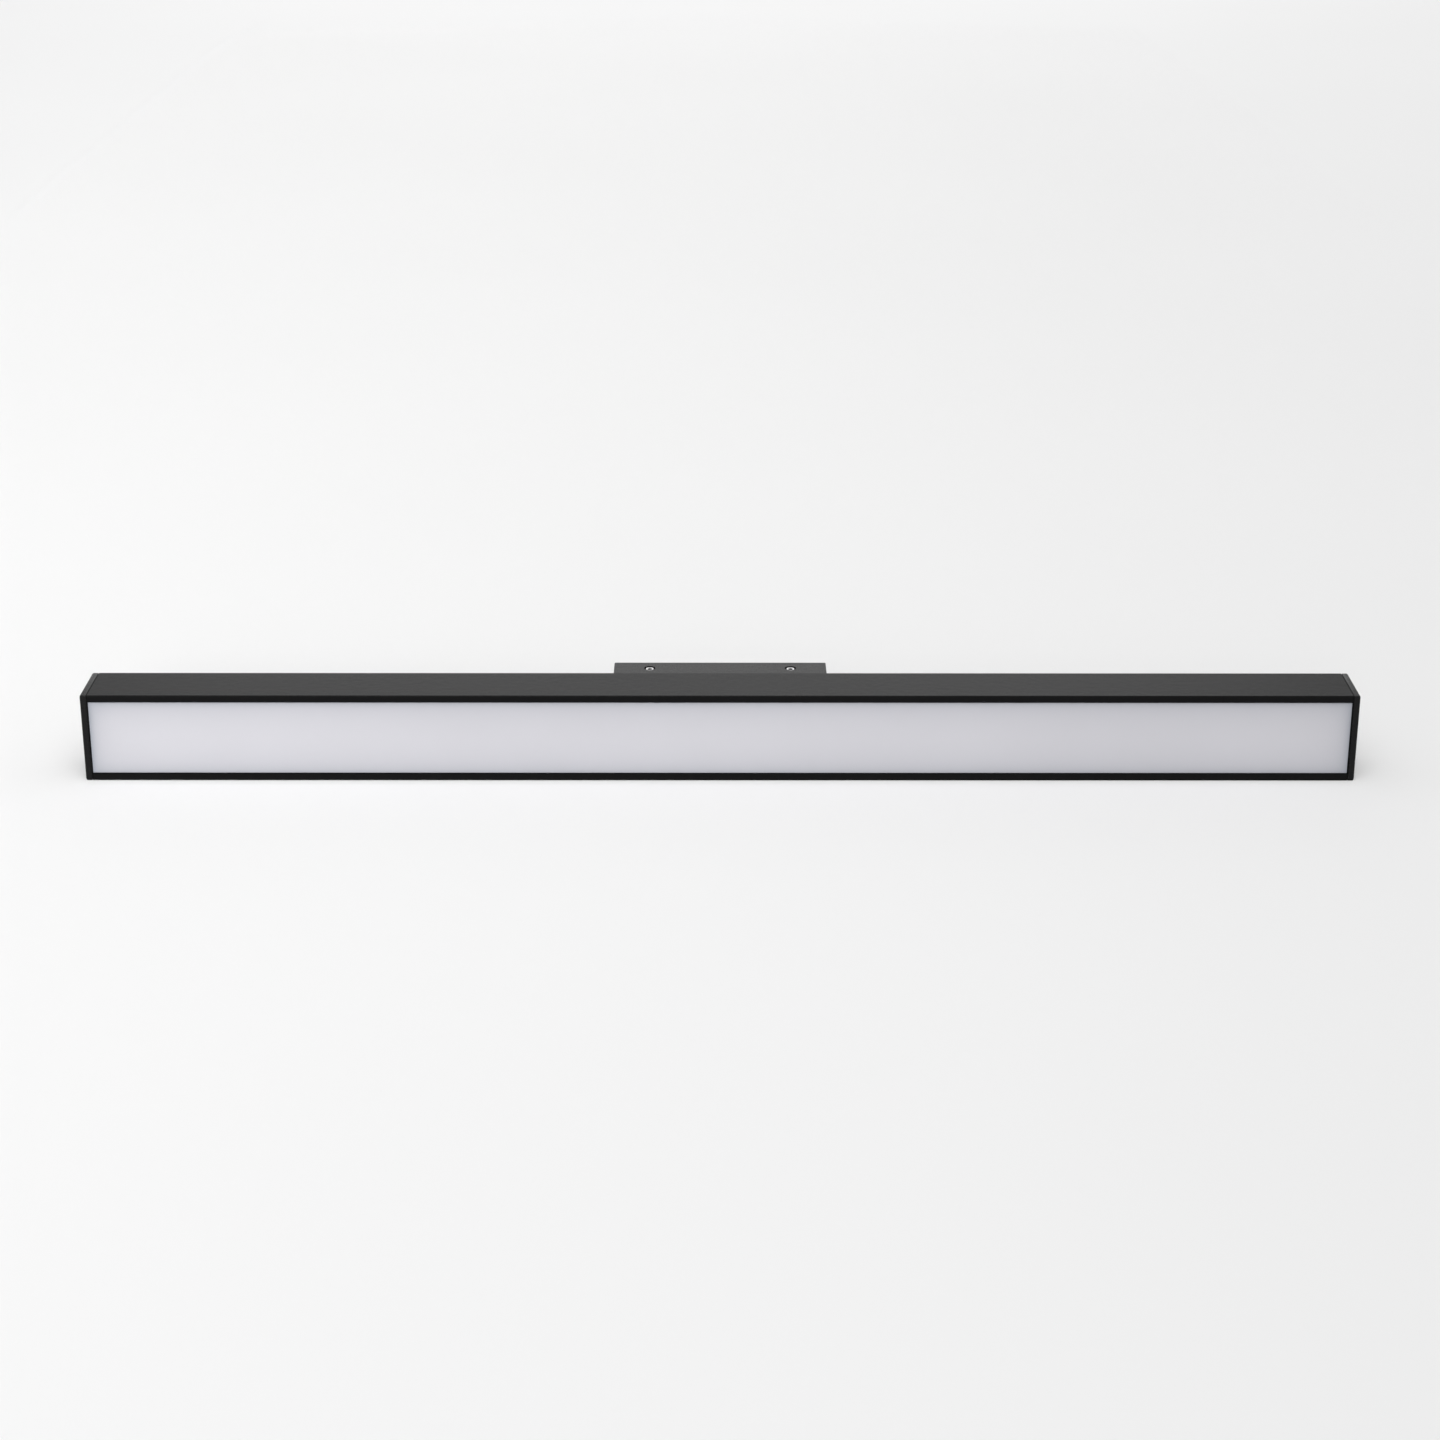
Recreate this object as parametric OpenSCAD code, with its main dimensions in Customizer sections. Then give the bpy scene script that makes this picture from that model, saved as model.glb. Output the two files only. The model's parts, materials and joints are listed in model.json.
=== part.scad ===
// Vanity light bar: an extruded black housing with an opal front, carried by a shallow
// canopy that slides over a steel wall bracket and is locked by two set screws.
// Frame: the origin is on the wall plane, on the axis of the bracket's cable hole.
// X runs along the bar, +Y goes into the wall, +Z is up. Millimetres.

/* [Bar] */
// Length over the end caps
bar_l = 600; // [520:10:1200]
// Height of the bar
bar_h = 42.8; // [42:0.2:60]
// Depth of the bar, from the front lips to the back wall
bar_d = 31; // [28:0.2:45]
// Radius of the bar's long edges
edge_r = 0.4; // [0.2:0.1:0.8]

/* [Housing profile] */
// Thickness of the outer walls
wall_t = 1.6; // [1.4:0.1:1.9]
// Height of the lips that frame the diffuser
lip_h = 3.4; // [3:0.1:5]
// Thickness of the lips, front to back
lip_t = 1.9; // [1.5:0.1:2.4]
// Thickness of the ribs behind the diffuser
rib_t = 1.2; // [0.8:0.1:1.8]
// Thickness of the web between the light and driver chambers
web_t = 1.8; // [1.4:0.1:3]
// Bore radius of the ports that take the end cap screws
port_bore_r = 1.3; // [1.1:0.05:1.5]
// Wall around that bore
port_wall = 1.3; // [1:0.1:1.5]

/* [Diffuser] */
// Distance of the diffuser's face behind the lips' face
lens_recess = 0.5; // [0.3:0.1:1.4]
// Thickness of the diffuser's edge in the groove
lens_flange_t = 1.6; // [1.2:0.1:2.2]
// Radius along the diffuser's front edges
lens_edge_r = 0.35; // [0.1:0.05:0.5]
// Gap around the diffuser's raised face
lens_gap = 0.15; // [0.1:0.05:0.3]

/* [End caps] */
// Thickness of an end cap
cap_t = 3; // [2.4:0.1:5]
// Rounding of its outer rim
cap_r = 0.9; // [0.4:0.1:1.2]
// Thickness of the gasket under it
gasket_t = 0.4; // [0.3:0.1:1]
// Setback of the gasket's edge from the rim
gasket_inset = 0.35; // [0.1:0.05:0.8]

/* [Light engine] */
// Sheet thickness of the reflector tray
tray_t = 0.5; // [0.4:0.1:0.8]
// Width of an LED board
board_w = 20; // [18:0.5:22]
// Thickness of an LED board
board_t = 1.6; // [1:0.1:2]
// Gap between the two boards
board_gap = 1; // [0.5:0.1:3]
// Distance from one LED to the next
led_pitch = 9.6; // [6:0.2:20]
// Length of an LED package
led_l = 3.5; // [2.8:0.1:5]
// Width of an LED package
led_w = 2.8; // [2:0.1:3.5]
// Height of an LED package
led_h = 0.8; // [0.5:0.1:1.4]

/* [Driver] */
// Length of the driver's case
driver_l = 150; // [120:5:160]
// Width of the case
driver_w = 21; // [19:0.5:26]
// Thickness of the case with its lid
driver_t = 11; // [9:0.1:13]
// Wall of the case
case_t = 1.2; // [0.8:0.1:1.4]
// Thickness of the lid
lid_t = 1.4; // [1:0.1:1.8]
// Distance from the bar's middle to the driver
driver_x = 62; // [58:1:70]
// Thickness of the adhesive tape under the driver
tape_t = 0.5; // [0.3:0.1:0.8]

/* [Canopy] */
// Width of the canopy
canopy_w = 102; // [100:1:160]
// Depth of the canopy, from the bar to the wall
canopy_d = 16; // [15:0.5:30]
// Setback of its top and bottom from the bar's
canopy_drop = 0.6; // [0:0.1:1]
// Thickness of its walls
canopy_t = 1.2; // [1:0.1:1.6]
// Radius of its corners
canopy_r = 0.6; // [0.4:0.1:2]
// Distance between the screws that hold it to the bar
canopy_screw_gap = 80; // [76:1:84]
// Height of the plate that those screws thread into
nut_plate_w = 18; // [17:0.5:24]
// Thickness of that plate
nut_plate_t = 3; // [2:0.5:3.5]

/* [Locking] */
// Distance between the two set screws
lock_gap = 67.6; // [60:0.2:72]
// Distance of the set screws behind the bar
lock_back = 8.4; // [7.6:0.1:9.4]
// Thread radius of a set screw
lock_r = 2; // [1.9:0.05:2.1]
// Width across the flats of its socket
lock_hex = 2; // [1.5:0.1:2.2]
// Radius of the clear hole over a set screw
lock_hole_r = 2.7; // [2.5:0.1:3]
// Depth of a set screw's head below the canopy's top
lock_sunk = 0; // [0:0.1:1]
// Height of the bar that the set screws thread into
nut_bar_h = 4; // [3:0.5:5]
// Width of that bar, front to back
nut_bar_w = 8; // [7:0.5:9]

/* [Wall bracket] */
// Distance from the bracket's ends to the canopy's sides
bracket_end_gap = 4.8; // [2:0.2:6]
// Sheet thickness of the bracket
bracket_t = 1.5; // [1.2:0.1:2]
// Distance from the edges of its flanges to the canopy's front
flange_setback = 2.8; // [2:0.1:4]
// Clearance between the bracket and the canopy
bracket_gap = 0.3; // [0.2:0.1:0.6]
// Radius of the cable hole
cable_r = 9; // [7:0.5:10]
// Distance between the wall screw slots
slot_gap = 60; // [56:1:66]
// Half the width of a slot
slot_r = 2.25; // [2:0.25:3]
// Length of a slot, end to end
slot_l = 10; // [7:0.5:12]

/* [Wiring] */
// Radius of a mains wire over its insulation
wire_r = 1; // [0.8:0.05:1.1]
// Radius of a low-voltage wire over its insulation
dc_wire_r = 0.75; // [0.6:0.05:0.8]
// Distance from one terminal to the next
pole_gap = 4.8; // [4.6:0.1:5.2]

/* [Hidden] */
eps = 0.01;
fn_round = 48;
fn_small = 24;
fit_gap = 0.02;       // radial clearance of a screw in its thread
run_gap = 0.05;       // radial clearance of a set screw, which travels
end_gap = 0.3;        // end clearance of the diffuser in the housing
hole_gap = 0.2;       // radial clearance of a screw in a clear hole
wire_gap = 0.1;       // radial clearance of a wire in a hole
head_ratio = 1.9;     // radius of a pan head over its shank's
head_rise = 1.3;      // height of a pan head over its shank's radius
through = 1;          // how far a cutter passes each face

// Stations along Y
y_back = -canopy_d;                        // back of the bar, front of the canopy
y_front = y_back - bar_d;                  // front of the lips
y_wall_in = y_back - wall_t;               // inside of the bar's back wall
y_driver = y_wall_in - tape_t;             // back of the driver's case
y_driver_front = y_driver - driver_t;
driver_clear = 1.7;                        // from the driver's lid to the web
y_web_back = y_driver_front - driver_clear;
y_web = y_web_back - web_t;                // front of the web
chamber_d = y_web - y_front;               // depth of the light chamber
y_can_in = y_back + canopy_t;              // inside of the canopy's front

// Housing profile: u is the depth from its front face
prof_l = bar_l - 2 * (cap_t + gasket_t);
inner_h = bar_h - 2 * wall_t;
window_h = bar_h - 2 * lip_h;
groove_gap = 0.1;                          // clearance on each face of the diffuser's edge
groove_w = lens_flange_t + 2 * groove_gap;
rib_u = lip_t + groove_w;                  // front of the ribs
rib_back_u = rib_u + rib_t;
port_r = port_bore_r + port_wall;
port_sunk = 0.4;                           // overlap of a port's ring with the walls
port_off = port_r - port_sunk;
port_z = inner_h / 2 - port_off;
port_front_u = chamber_d - port_off;
port_back_u = bar_d - wall_t - port_off;
port_slot = 1.2;                           // width of the slot along a port
ports = [for (u = [port_front_u, port_back_u], s = [-1, 1]) [u, s * port_z]];

// End cap screws
cap_screw_r = port_bore_r - fit_gap;
cap_hole_gap = 0.4;                        // radial clearance of a screw in a cap
cap_hole_r = port_bore_r + cap_hole_gap;
csk_d = 1.1;                               // depth of the 90 degree countersink
csk_r = cap_hole_r + csk_d;                // its radius at the cap's face
csk_gap = 0.05;
cap_screw_sunk = 0.1;
cap_screw_l = 10;
cap_hex = 2;
cap_hex_d = 1.3;
port_clear = 0.6;                          // from the gasket's window to the ports

// Light engine
board_end = 4;                             // from a board's end to the housing's end
tray_end = 1;                              // from the tray's end to the housing's end
tray_step = 1.5;                           // from a board's edge to the tray's side
tray_rib_gap = 0.1;                        // from the ribs to the tray's sides
tray_wall_gap = 1.2;                       // from the bar's walls to the tray's sides
board_l = (prof_l - 2 * board_end - board_gap) / 2;
board_x = (board_l + board_gap) / 2;       // a board's middle
y_tray = y_web - tray_t;                   // front of the reflector's floor
y_board = y_tray - board_t;                // front of the boards
tray_side_u = rib_back_u + tray_rib_gap;   // front edge of the reflector's sides
tray_side_z = inner_h / 2 - tray_wall_gap;
tray_floor_z = board_w / 2 + tray_step;
led_margin = 6;
led_count = floor((board_l - 2 * led_margin) / led_pitch) + 1;
board_screw_z = 6.5;
board_screw_in = 12;                       // from a board's end to its screw
board_screw_xs = [for (s = [-1, 1], k = [-1, 0, 1])
    s * board_x + k * (board_l / 2 - board_screw_in)];
board_screw_r = 1.25;
board_screw_tip = 0.6;                     // how far a board screw passes the web
link_size = [12, 3, 6];
link_slot = [9, 2, 1];
board_slack = 0.3;                         // from the board to the web grommet
led_well_d = 0.25;
led_well_share = 0.38;                     // radius of an LED's well over its width

// Driver
case_h = driver_t - lid_t;                 // case without its lid
pcb_t = 1.2;
pcb_lift = 1.4;                            // from the case's floor to the board
pcb_gap = 0.3;
y_pcb = y_driver - case_t - pcb_lift - pcb_t;
lid_lip = 1;                               // depth and wall of the lid's locating lip
lid_slack = 0.15;
part_gap = 0.2;                            // from the board's parts to the lid's lip
part_h = y_pcb - y_driver_front - lid_t - lid_lip - part_gap;
part_in = 26;                              // from the case's ends to its capacitors
capacitor_l = 15;
core_size = [14, 12];
post_r = 1.6;
post_in = 6;                               // from the case's inner ends to its posts
tape_in = 6;                               // from the case's ends to the tape
wire_lift = 0.3;                           // from the driver's board to its wires
driver_wire_y = y_pcb - wire_r - wire_lift;
driver_wire_z = 2.6;
dc_wire_z = 1.6;

// Low-voltage wires and the connector they end in
dc_reach = 14;                             // from the driver to the hole in the web
dc_hole_x = driver_x + driver_l + dc_reach;
dc_z = -6.5;
dc_side_gap = 0.3;                         // half the gap between the two wires
dc_split = dc_wire_r + dc_side_gap;        // half the distance between their axes
dc_grommet_r = 3;
dc_flange_r = 3.9;
dc_flange_t = 1;
dc_bore_r = 2.1;
plug_size = [9, 3.6, 6];
plug_bore_d = 5;
plug_off = 6;                              // from that hole to the connector
plug_x = dc_hole_x + plug_off;
dc_bore_y = y_board - plug_size[1] / 2;

// Canopy
canopy_h = bar_h - 2 * canopy_drop;
canopy_in_w = canopy_w - 2 * canopy_t;
canopy_in_h = canopy_h - 2 * canopy_t;
plate_end = 8;                             // from a screw's axis to the nut plate's end
nut_plate_l = canopy_screw_gap + 2 * plate_end;
plate_slack = 0.4;                         // from the nut plate to the grommet's flange
canopy_screw_r = 2;
canopy_screw_tip = 0.5;                    // how far a canopy screw passes the nut plate
grommet_r = 5.5;                           // groove of the mains grommet
grommet_flange_r = 7;
grommet_flange_t = 1.2;
grommet_bore_r = 3.2;

// Locking
lock_y = y_back + lock_back;
nut_bar_end = 8;                           // from a set screw's axis to the bar's end
nut_bar_l = lock_gap + 2 * nut_bar_end;
nut_bar_z = canopy_in_h / 2 - nut_bar_h;   // underside of the nut bar
flange_top = nut_bar_z - bracket_gap;      // top of the bracket's upper flange
flange_bottom = -canopy_in_h / 2 + bracket_gap;
lock_top = canopy_h / 2 - lock_sunk;
lock_tip = 0.5;                            // height of a set screw's cone point
lock_chamfer = 0.15;
lock_socket_d = 2;
bracket_w = canopy_in_w - 2 * bracket_end_gap;
flange_l = canopy_d - canopy_t - flange_setback;
fold_r = 1;                                // inner radius of the bracket's folds
bend_r = bracket_t + fold_r;
bracket_earth_off = 6;                     // from the cable hole's rim to the earth screw
earth_z = -10;                             // height of both earth screws

// Terminal block
block_l = 17;
block_h = 9.6;
block_rim = 0.8;                           // beyond the outer poles' own width
block_w = 3 * pole_gap + 2 * block_rim;
block_ear = 7;
ear_l = 9;
block_clear = 0.6;                         // from the block to the canopy screw's head
block_x = block_clear + canopy_screw_r * head_ratio - canopy_screw_gap / 2;
clamp_side = 3.6;
clamp_l = 12;
clamp_slack = 0.1;                         // clearance of a clamp in the block
clamp_bore_r = 1.3;
pole_lift = 4.2;                           // from the canopy's front to a pole's axis
pole_y = y_can_in + pole_lift;
pole_zs = [for (k = [-1, 0, 1]) k * pole_gap];
clamp_screw_r = 1.1;
clamp_screw_l = 3.4;
clamp_screw_off = 3.4;
clamp_slot_d = 0.7;
clamp_slot_w = 0.5;
block_mid_x = block_x + block_l / 2;
block_end_x = block_x + block_l;
small_screw_r = 1.5;
ear_t = 3;
ear_z = -block_w / 2 - block_ear / 2;
earth_x = 24;
tag_t = 0.8;
tag_r = 3.4;
tag_lift = 1.5;                            // from the canopy's front to the tag's barrel
barrel_r = 1.5;
barrel_l = 5;

// Wire routes, as points that a smooth curve passes through
tag_y = y_can_in + tag_lift;
tag_l = 10;                                // from the earth screw to the tag's far end
barrel_bore_d = 3.5;
grommet_y = (y_wall_in + y_can_in) / 2;
function mains_route(pole_z, z, driver_z) = [
    [block_end_x - 4, pole_y, pole_z],
    [block_end_x + 1, pole_y, pole_z],
    [block_end_x + 6, pole_y, pole_z * 0.9],
    [-5.5, pole_y - 0.3, z * 1.4],
    [-1.9, y_can_in + 1.6, z],
    [-1.3, grommet_y, z],
    [-0.7, y_wall_in - 2, z],
    [2.8, driver_wire_y + 0.6, z * 1.3],
    [9, driver_wire_y, driver_z],
    [driver_x - 4, driver_wire_y, driver_z],
    [driver_x + case_t + 3, driver_wire_y, driver_z]
];
line_route = mains_route(pole_gap, 1.25, driver_wire_z);
neutral_route = mains_route(0, -1.25, -driver_wire_z);
earth_route = [
    [block_end_x - 4, pole_y, -pole_gap],
    [block_end_x + 1, pole_y, -pole_gap],
    [block_end_x + 7, pole_y, -pole_gap - 1],
    [-4, pole_y - 0.2, -pole_gap - 4],
    [4, tag_y + 0.9, earth_z],
    [9, tag_y, earth_z],
    [earth_x - tag_l - 1.5, tag_y, earth_z],
    [earth_x - tag_l + barrel_bore_d - 0.5, tag_y, earth_z]
];
function dc_route(s) = [
    [driver_x + driver_l - case_t - 3, driver_wire_y, s * dc_wire_z],
    [driver_x + driver_l + 0.5, driver_wire_y, s * dc_wire_z],
    [driver_x + driver_l + 3, driver_wire_y, s * dc_wire_z],
    [dc_hole_x - 4.5, driver_wire_y - 1, dc_z * 0.7 + s * dc_split * 1.2],
    [dc_hole_x - 0.4, y_web_back + 3.4, dc_z + s * dc_split],
    [dc_hole_x, y_web_back, dc_z + s * dc_split],
    [dc_hole_x, y_board + 0.4, dc_z + s * dc_split],
    [dc_hole_x + 1.2, dc_bore_y + 0.5, dc_z + s * dc_split],
    [dc_hole_x + 3, dc_bore_y, dc_z + s * dc_split],
    [plug_x - 1, dc_bore_y, dc_z + s * dc_split],
    [plug_x + plug_bore_d - 0.5, dc_bore_y, dc_z + s * dc_split]
];

// Basic shapes

module rounded_rect(w, h, r) {
    square([w - 2 * r, h], center = true);
    square([w, h - 2 * r], center = true);
    for (x = [-1, 1], y = [-1, 1])
        translate([x * (w / 2 - r), y * (h / 2 - r)]) circle(r, $fn = fn_small);
}

// Corner radius of a hexagon that is given across its flats
function hex_radius(flats) = flats / 2 / cos(30);

// A bar's section, drawn as [depth, height], run along X
module along_x(x, length) {
    translate([x, y_front, 0]) rotate([90, 0, 90]) linear_extrude(length) children();
}

// An outline, drawn as [width, height], run along Y
module along_y(y, length) {
    translate([0, y, 0]) rotate([-90, 0, 0]) linear_extrude(length) children();
}

module y_rod(x, y, z, length, r, fn = fn_round) {
    translate([x, y, z]) rotate([-90, 0, 0]) cylinder(h = length, r = r, $fn = fn);
}

module x_rod(x, y, z, length, r, fn = fn_round) {
    translate([x, y, z]) rotate([0, 90, 0]) cylinder(h = length, r = r, $fn = fn);
}

// Cutters that pass right through a wall of the given thickness
module y_hole(x, y, z, thick, r, fn = fn_round) {
    y_rod(x, y - through, z, thick + 2 * through, r, fn);
}

module x_hole(x, y, z, thick, r, fn = fn_round) {
    x_rod(x - through, y, z, thick + 2 * through, r, fn);
}

// A block that is given by its low corner in X and Y, centred on z
module y_block(x, y, z, size) {
    translate([x, y, z - size[2] / 2]) cube(size);
}

// A pan head screw along +Z: its head sits on z = 0 and its shank goes down
module pan_screw(r, length) {
    head_r = r * head_ratio;
    head_h = r * head_rise;
    rim_h = head_h * 0.6;
    top_r = head_r * 0.72;
    slot_z = head_h * 0.35;
    slot_w = head_r / 5;
    difference() {
        union() {
            translate([0, 0, -length]) cylinder(h = length + eps, r = r, $fn = fn_small);
            cylinder(h = rim_h, r = head_r, $fn = fn_round);
            translate([0, 0, rim_h - eps])
                cylinder(h = head_h - rim_h + eps, r1 = head_r, r2 = top_r, $fn = fn_round);
        }
        for (a = [0, 90]) rotate(a) translate([-head_r / 2, -slot_w / 2, slot_z])
            cube([head_r, slot_w, head_h]);
    }
}

// The same screw, driven towards -Y, with its head's seat at y
module pan_screw_y(x, y, z, r, length) {
    translate([x, y, z]) rotate([-90, 0, 0]) pan_screw(r, length);
}

// Wires: a smooth curve through hand-set points, swept as an eight-sided tube

function curve_point(a, b, c, d, t) = 0.5 * (2 * b + (c - a) * t
    + (2 * a - 5 * b + 4 * c - d) * t * t + (3 * b - a - 3 * c + d) * t * t * t);

function curve(p, steps) = let (n = len(p)) concat(
    [for (i = [0 : n - 2], k = [0 : steps - 1])
        curve_point(i == 0 ? 2 * p[0] - p[1] : p[i - 1], p[i], p[i + 1],
            i == n - 2 ? 2 * p[n - 1] - p[n - 2] : p[i + 2], k / steps)],
    [p[n - 1]]);

function unit(v) = v / norm(v);

function tangent(p, i) = unit(p[min(i + 1, len(p) - 1)] - p[max(i - 1, 0)]);

// Each ring's first direction is the last ring's, turned as little as the curve allows
function sides(p, i, last) = i == len(p) ? [] :
    let (t = tangent(p, i), s = unit(last - (last * t) * t)) concat([s], sides(p, i + 1, s));

module wire(points, r, steps = 4, n = 8) {
    p = curve(points, steps);
    t0 = tangent(p, 0);
    s = sides(p, 0, abs(t0[2]) < 0.9 ? [0, 0, 1] : [0, 1, 0]);
    m = len(p);
    rings = [for (i = [0 : m - 1], k = [0 : n - 1])
        let (t = tangent(p, i), b = cross(t, s[i]), a = 360 * k / n)
        p[i] + r * (cos(a) * s[i] + sin(a) * b)];
    faces = concat(
        [[for (k = [0 : n - 1]) k]],
        [for (i = [0 : m - 2], k = [0 : n - 1])
            [i * n + k, (i + 1) * n + k, (i + 1) * n + (k + 1) % n, i * n + (k + 1) % n]],
        [[for (k = [n - 1 : -1 : 0]) (m - 1) * n + k]]);
    polyhedron(rings, faces, convexity = 8);
}

// Housing

module profile_section() {
    difference() {
        union() {
            difference() {
                translate([bar_d / 2, 0]) rounded_rect(bar_d, bar_h, edge_r);
                translate([-through, -window_h / 2])
                    square([rib_back_u + 2 * through, window_h]);
                translate([lip_t, -inner_h / 2]) square([groove_w, inner_h]);
                translate([rib_back_u, -inner_h / 2])
                    square([chamber_d - rib_back_u, inner_h]);
                translate([chamber_d + web_t, -inner_h / 2])
                    square([bar_d - wall_t - chamber_d - web_t, inner_h]);
            }
            for (p = ports) translate(p) circle(port_r, $fn = fn_round);
        }
        for (p = ports) {
            translate(p) circle(port_bore_r, $fn = fn_small);
            translate([p[0] - port_slot / 2, p[1] > 0 ? p[1] - port_r - through : p[1]])
                square([port_slot, port_r + through]);
        }
    }
}

module housing_profile() {
    color([0.09, 0.09, 0.09]) difference() {
        along_x(-prof_l / 2, prof_l) profile_section();
        y_hole(0, y_wall_in, 0, wall_t, grommet_r);
        for (s = [-1, 1])
            y_hole(s * canopy_screw_gap / 2, y_wall_in, 0, wall_t, canopy_screw_r + hole_gap);
        for (x = board_screw_xs)
            y_hole(x, y_web, board_screw_z, web_t, board_screw_r + fit_gap, fn_small);
        y_hole(dc_hole_x, y_web, dc_z, web_t, dc_grommet_r);
        y_hole(block_mid_x, y_wall_in, ear_z, wall_t, small_screw_r + fit_gap, fn_small);
        y_hole(earth_x, y_wall_in, earth_z, wall_t, small_screw_r + fit_gap, fn_small);
    }
}

module diffuser() {
    length = prof_l - 2 * end_gap;
    flange_h = inner_h - 4 * groove_gap;
    face_h = window_h - 2 * lens_gap;
    flange_u = lip_t + groove_gap;
    face_d = flange_u + lens_flange_t - lens_recess;
    color([0.93, 0.93, 0.95]) along_x(-length / 2, length) {
        translate([flange_u, -flange_h / 2]) square([lens_flange_t, flange_h]);
        translate([lens_recess + face_d / 2, 0]) rounded_rect(face_d, face_h, lens_edge_r);
    }
}

// End caps, drawn for the right end with the inner face on x = 0

module cap_layer(inset, x, thick) {
    translate([x, 0, 0]) along_x(0, thick) translate([bar_d / 2, 0])
        rounded_rect(bar_d - 2 * inset, bar_h - 2 * inset, edge_r + inset / 2);
}

module cap_blank() {
    steps = 4;
    hull() {
        cap_layer(0, 0, cap_t - cap_r);
        for (k = [1 : steps])
            cap_layer(cap_r * (1 - cos(90 * k / steps)),
                cap_t - cap_r + cap_r * sin(90 * k / steps) - eps, eps);
    }
}

module cap() {
    color([0.08, 0.08, 0.08]) difference() {
        cap_blank();
        for (p = ports) {
            x_hole(0, y_front + p[0], p[1], cap_t, cap_hole_r);
            translate([cap_t - csk_d, y_front + p[0], p[1]]) rotate([0, 90, 0])
                cylinder(h = csk_d, r1 = cap_hole_r, r2 = csk_r, $fn = fn_round);
        }
    }
}

module gasket() {
    window_z = port_z - port_r - port_clear;
    color([0.05, 0.05, 0.05]) translate([-gasket_t, 0, 0]) difference() {
        along_x(0, gasket_t) difference() {
            translate([bar_d / 2, 0])
                rounded_rect(bar_d - 2 * gasket_inset, bar_h - 2 * gasket_inset, edge_r);
            translate([rib_back_u, -window_z])
                square([bar_d - wall_t - rib_back_u, 2 * window_z]);
        }
        for (p = ports) x_hole(0, y_front + p[0], p[1], gasket_t, cap_hole_r);
    }
}

module cap_screw() {
    head_r = csk_r - cap_screw_sunk - csk_gap;
    head_h = head_r - cap_screw_r;
    color([0.12, 0.12, 0.12]) translate([cap_t - cap_screw_sunk, 0, 0]) difference() {
        union() {
            translate([-head_h, 0, 0]) rotate([0, 90, 0])
                cylinder(h = head_h, r1 = cap_screw_r, r2 = head_r, $fn = fn_round);
            x_rod(-cap_screw_l, 0, 0, cap_screw_l - head_h + eps, cap_screw_r, fn_small);
        }
        x_rod(-cap_hex_d, 0, 0, cap_hex_d + through, hex_radius(cap_hex), 6);
    }
}

module at_right_end() {
    translate([prof_l / 2 + gasket_t, 0, 0]) children();
}

module at_both_ends() {
    at_right_end() children();
    mirror([1, 0, 0]) at_right_end() children();
}

module end_cap_screws() {
    at_both_ends() for (p = ports) translate([0, y_front + p[0], p[1]]) cap_screw();
}

// Light engine

// Half the height of the reflector's mouth at a depth behind the front face
function tray_z(u) = tray_floor_z
    + (chamber_d - u) * (tray_side_z - tray_floor_z) / (chamber_d - tray_side_u);

module reflector_tray() {
    length = prof_l - 2 * tray_end;
    run = chamber_d - tray_side_u;
    thick_z = tray_t * norm([run, tray_side_z - tray_floor_z]) / run;
    floor_u = chamber_d - tray_t;
    mouth_u = tray_side_u - through;
    color([0.95, 0.95, 0.94]) difference() {
        along_x(-length / 2, length) difference() {
            polygon([[tray_side_u, tray_side_z], [chamber_d, tray_floor_z],
                [chamber_d, -tray_floor_z], [tray_side_u, -tray_side_z]]);
            polygon([[mouth_u, tray_z(mouth_u) - thick_z], [floor_u, tray_z(floor_u) - thick_z],
                [floor_u, thick_z - tray_z(floor_u)], [mouth_u, thick_z - tray_z(mouth_u)]]);
        }
        for (x = board_screw_xs)
            y_hole(x, y_tray, board_screw_z, tray_t, board_screw_r + hole_gap, fn_small);
        y_hole(dc_hole_x, y_tray, dc_z, tray_t, dc_grommet_r);
    }
}

module led_board(side) {
    x = side * board_x;
    notch_r = dc_flange_r + board_slack;
    color([0.96, 0.96, 0.94]) difference() {
        y_block(x - board_l / 2, y_board, 0, [board_l, board_t, board_w]);
        for (k = [-1, 0, 1])
            y_hole(x + k * (board_l / 2 - board_screw_in), y_board, board_screw_z, board_t,
                board_screw_r + hole_gap, fn_small);
        if (side > 0) {                    // notch for the grommet, open at the board's edge
            y_hole(dc_hole_x, y_board, dc_z, board_t, notch_r);
            translate([dc_hole_x - notch_r, y_board - through, dc_z - board_w])
                cube([2 * notch_r, board_t + 2 * through, board_w]);
        }
    }
}

module led_chips() {
    well_r = led_w * led_well_share;
    color([0.98, 0.9, 0.55]) for (side = [-1, 1], k = [0 : led_count - 1]) {
        x = side * board_x + (k - (led_count - 1) / 2) * led_pitch;
        difference() {
            y_block(x - led_l / 2, y_board - led_h, 0, [led_l, led_h, led_w]);
            y_rod(x, y_board - led_h - through, 0, through + led_well_d, well_r, fn_small);
        }
    }
}

module led_board_screws() {
    shank = board_t + tray_t + web_t + board_screw_tip;
    color([0.75, 0.75, 0.77]) for (x = board_screw_xs)
        translate([x, y_board, board_screw_z]) rotate([90, 0, 0])
            pan_screw(board_screw_r, shank);
}

module board_link() {
    y = y_board - link_size[1];
    color([0.95, 0.95, 0.93]) difference() {
        y_block(-link_size[0] / 2, y, dc_z, link_size);
        for (s = [-1, 1])
            y_block(-link_slot[0] / 2, y - link_slot[1] / 2, dc_z + s * link_size[2] / 4,
                link_slot);
    }
}

module board_plug() {
    color([0.95, 0.95, 0.93]) difference() {
        y_block(plug_x, y_board - plug_size[1], dc_z, plug_size);
        for (s = [-1, 1])
            x_rod(plug_x - through, dc_bore_y, dc_z + s * dc_split, plug_bore_d + through,
                dc_wire_r + wire_gap, fn_small);
    }
}

// Driver: its case is taped to the bar's back wall, with its lid towards the front

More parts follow.
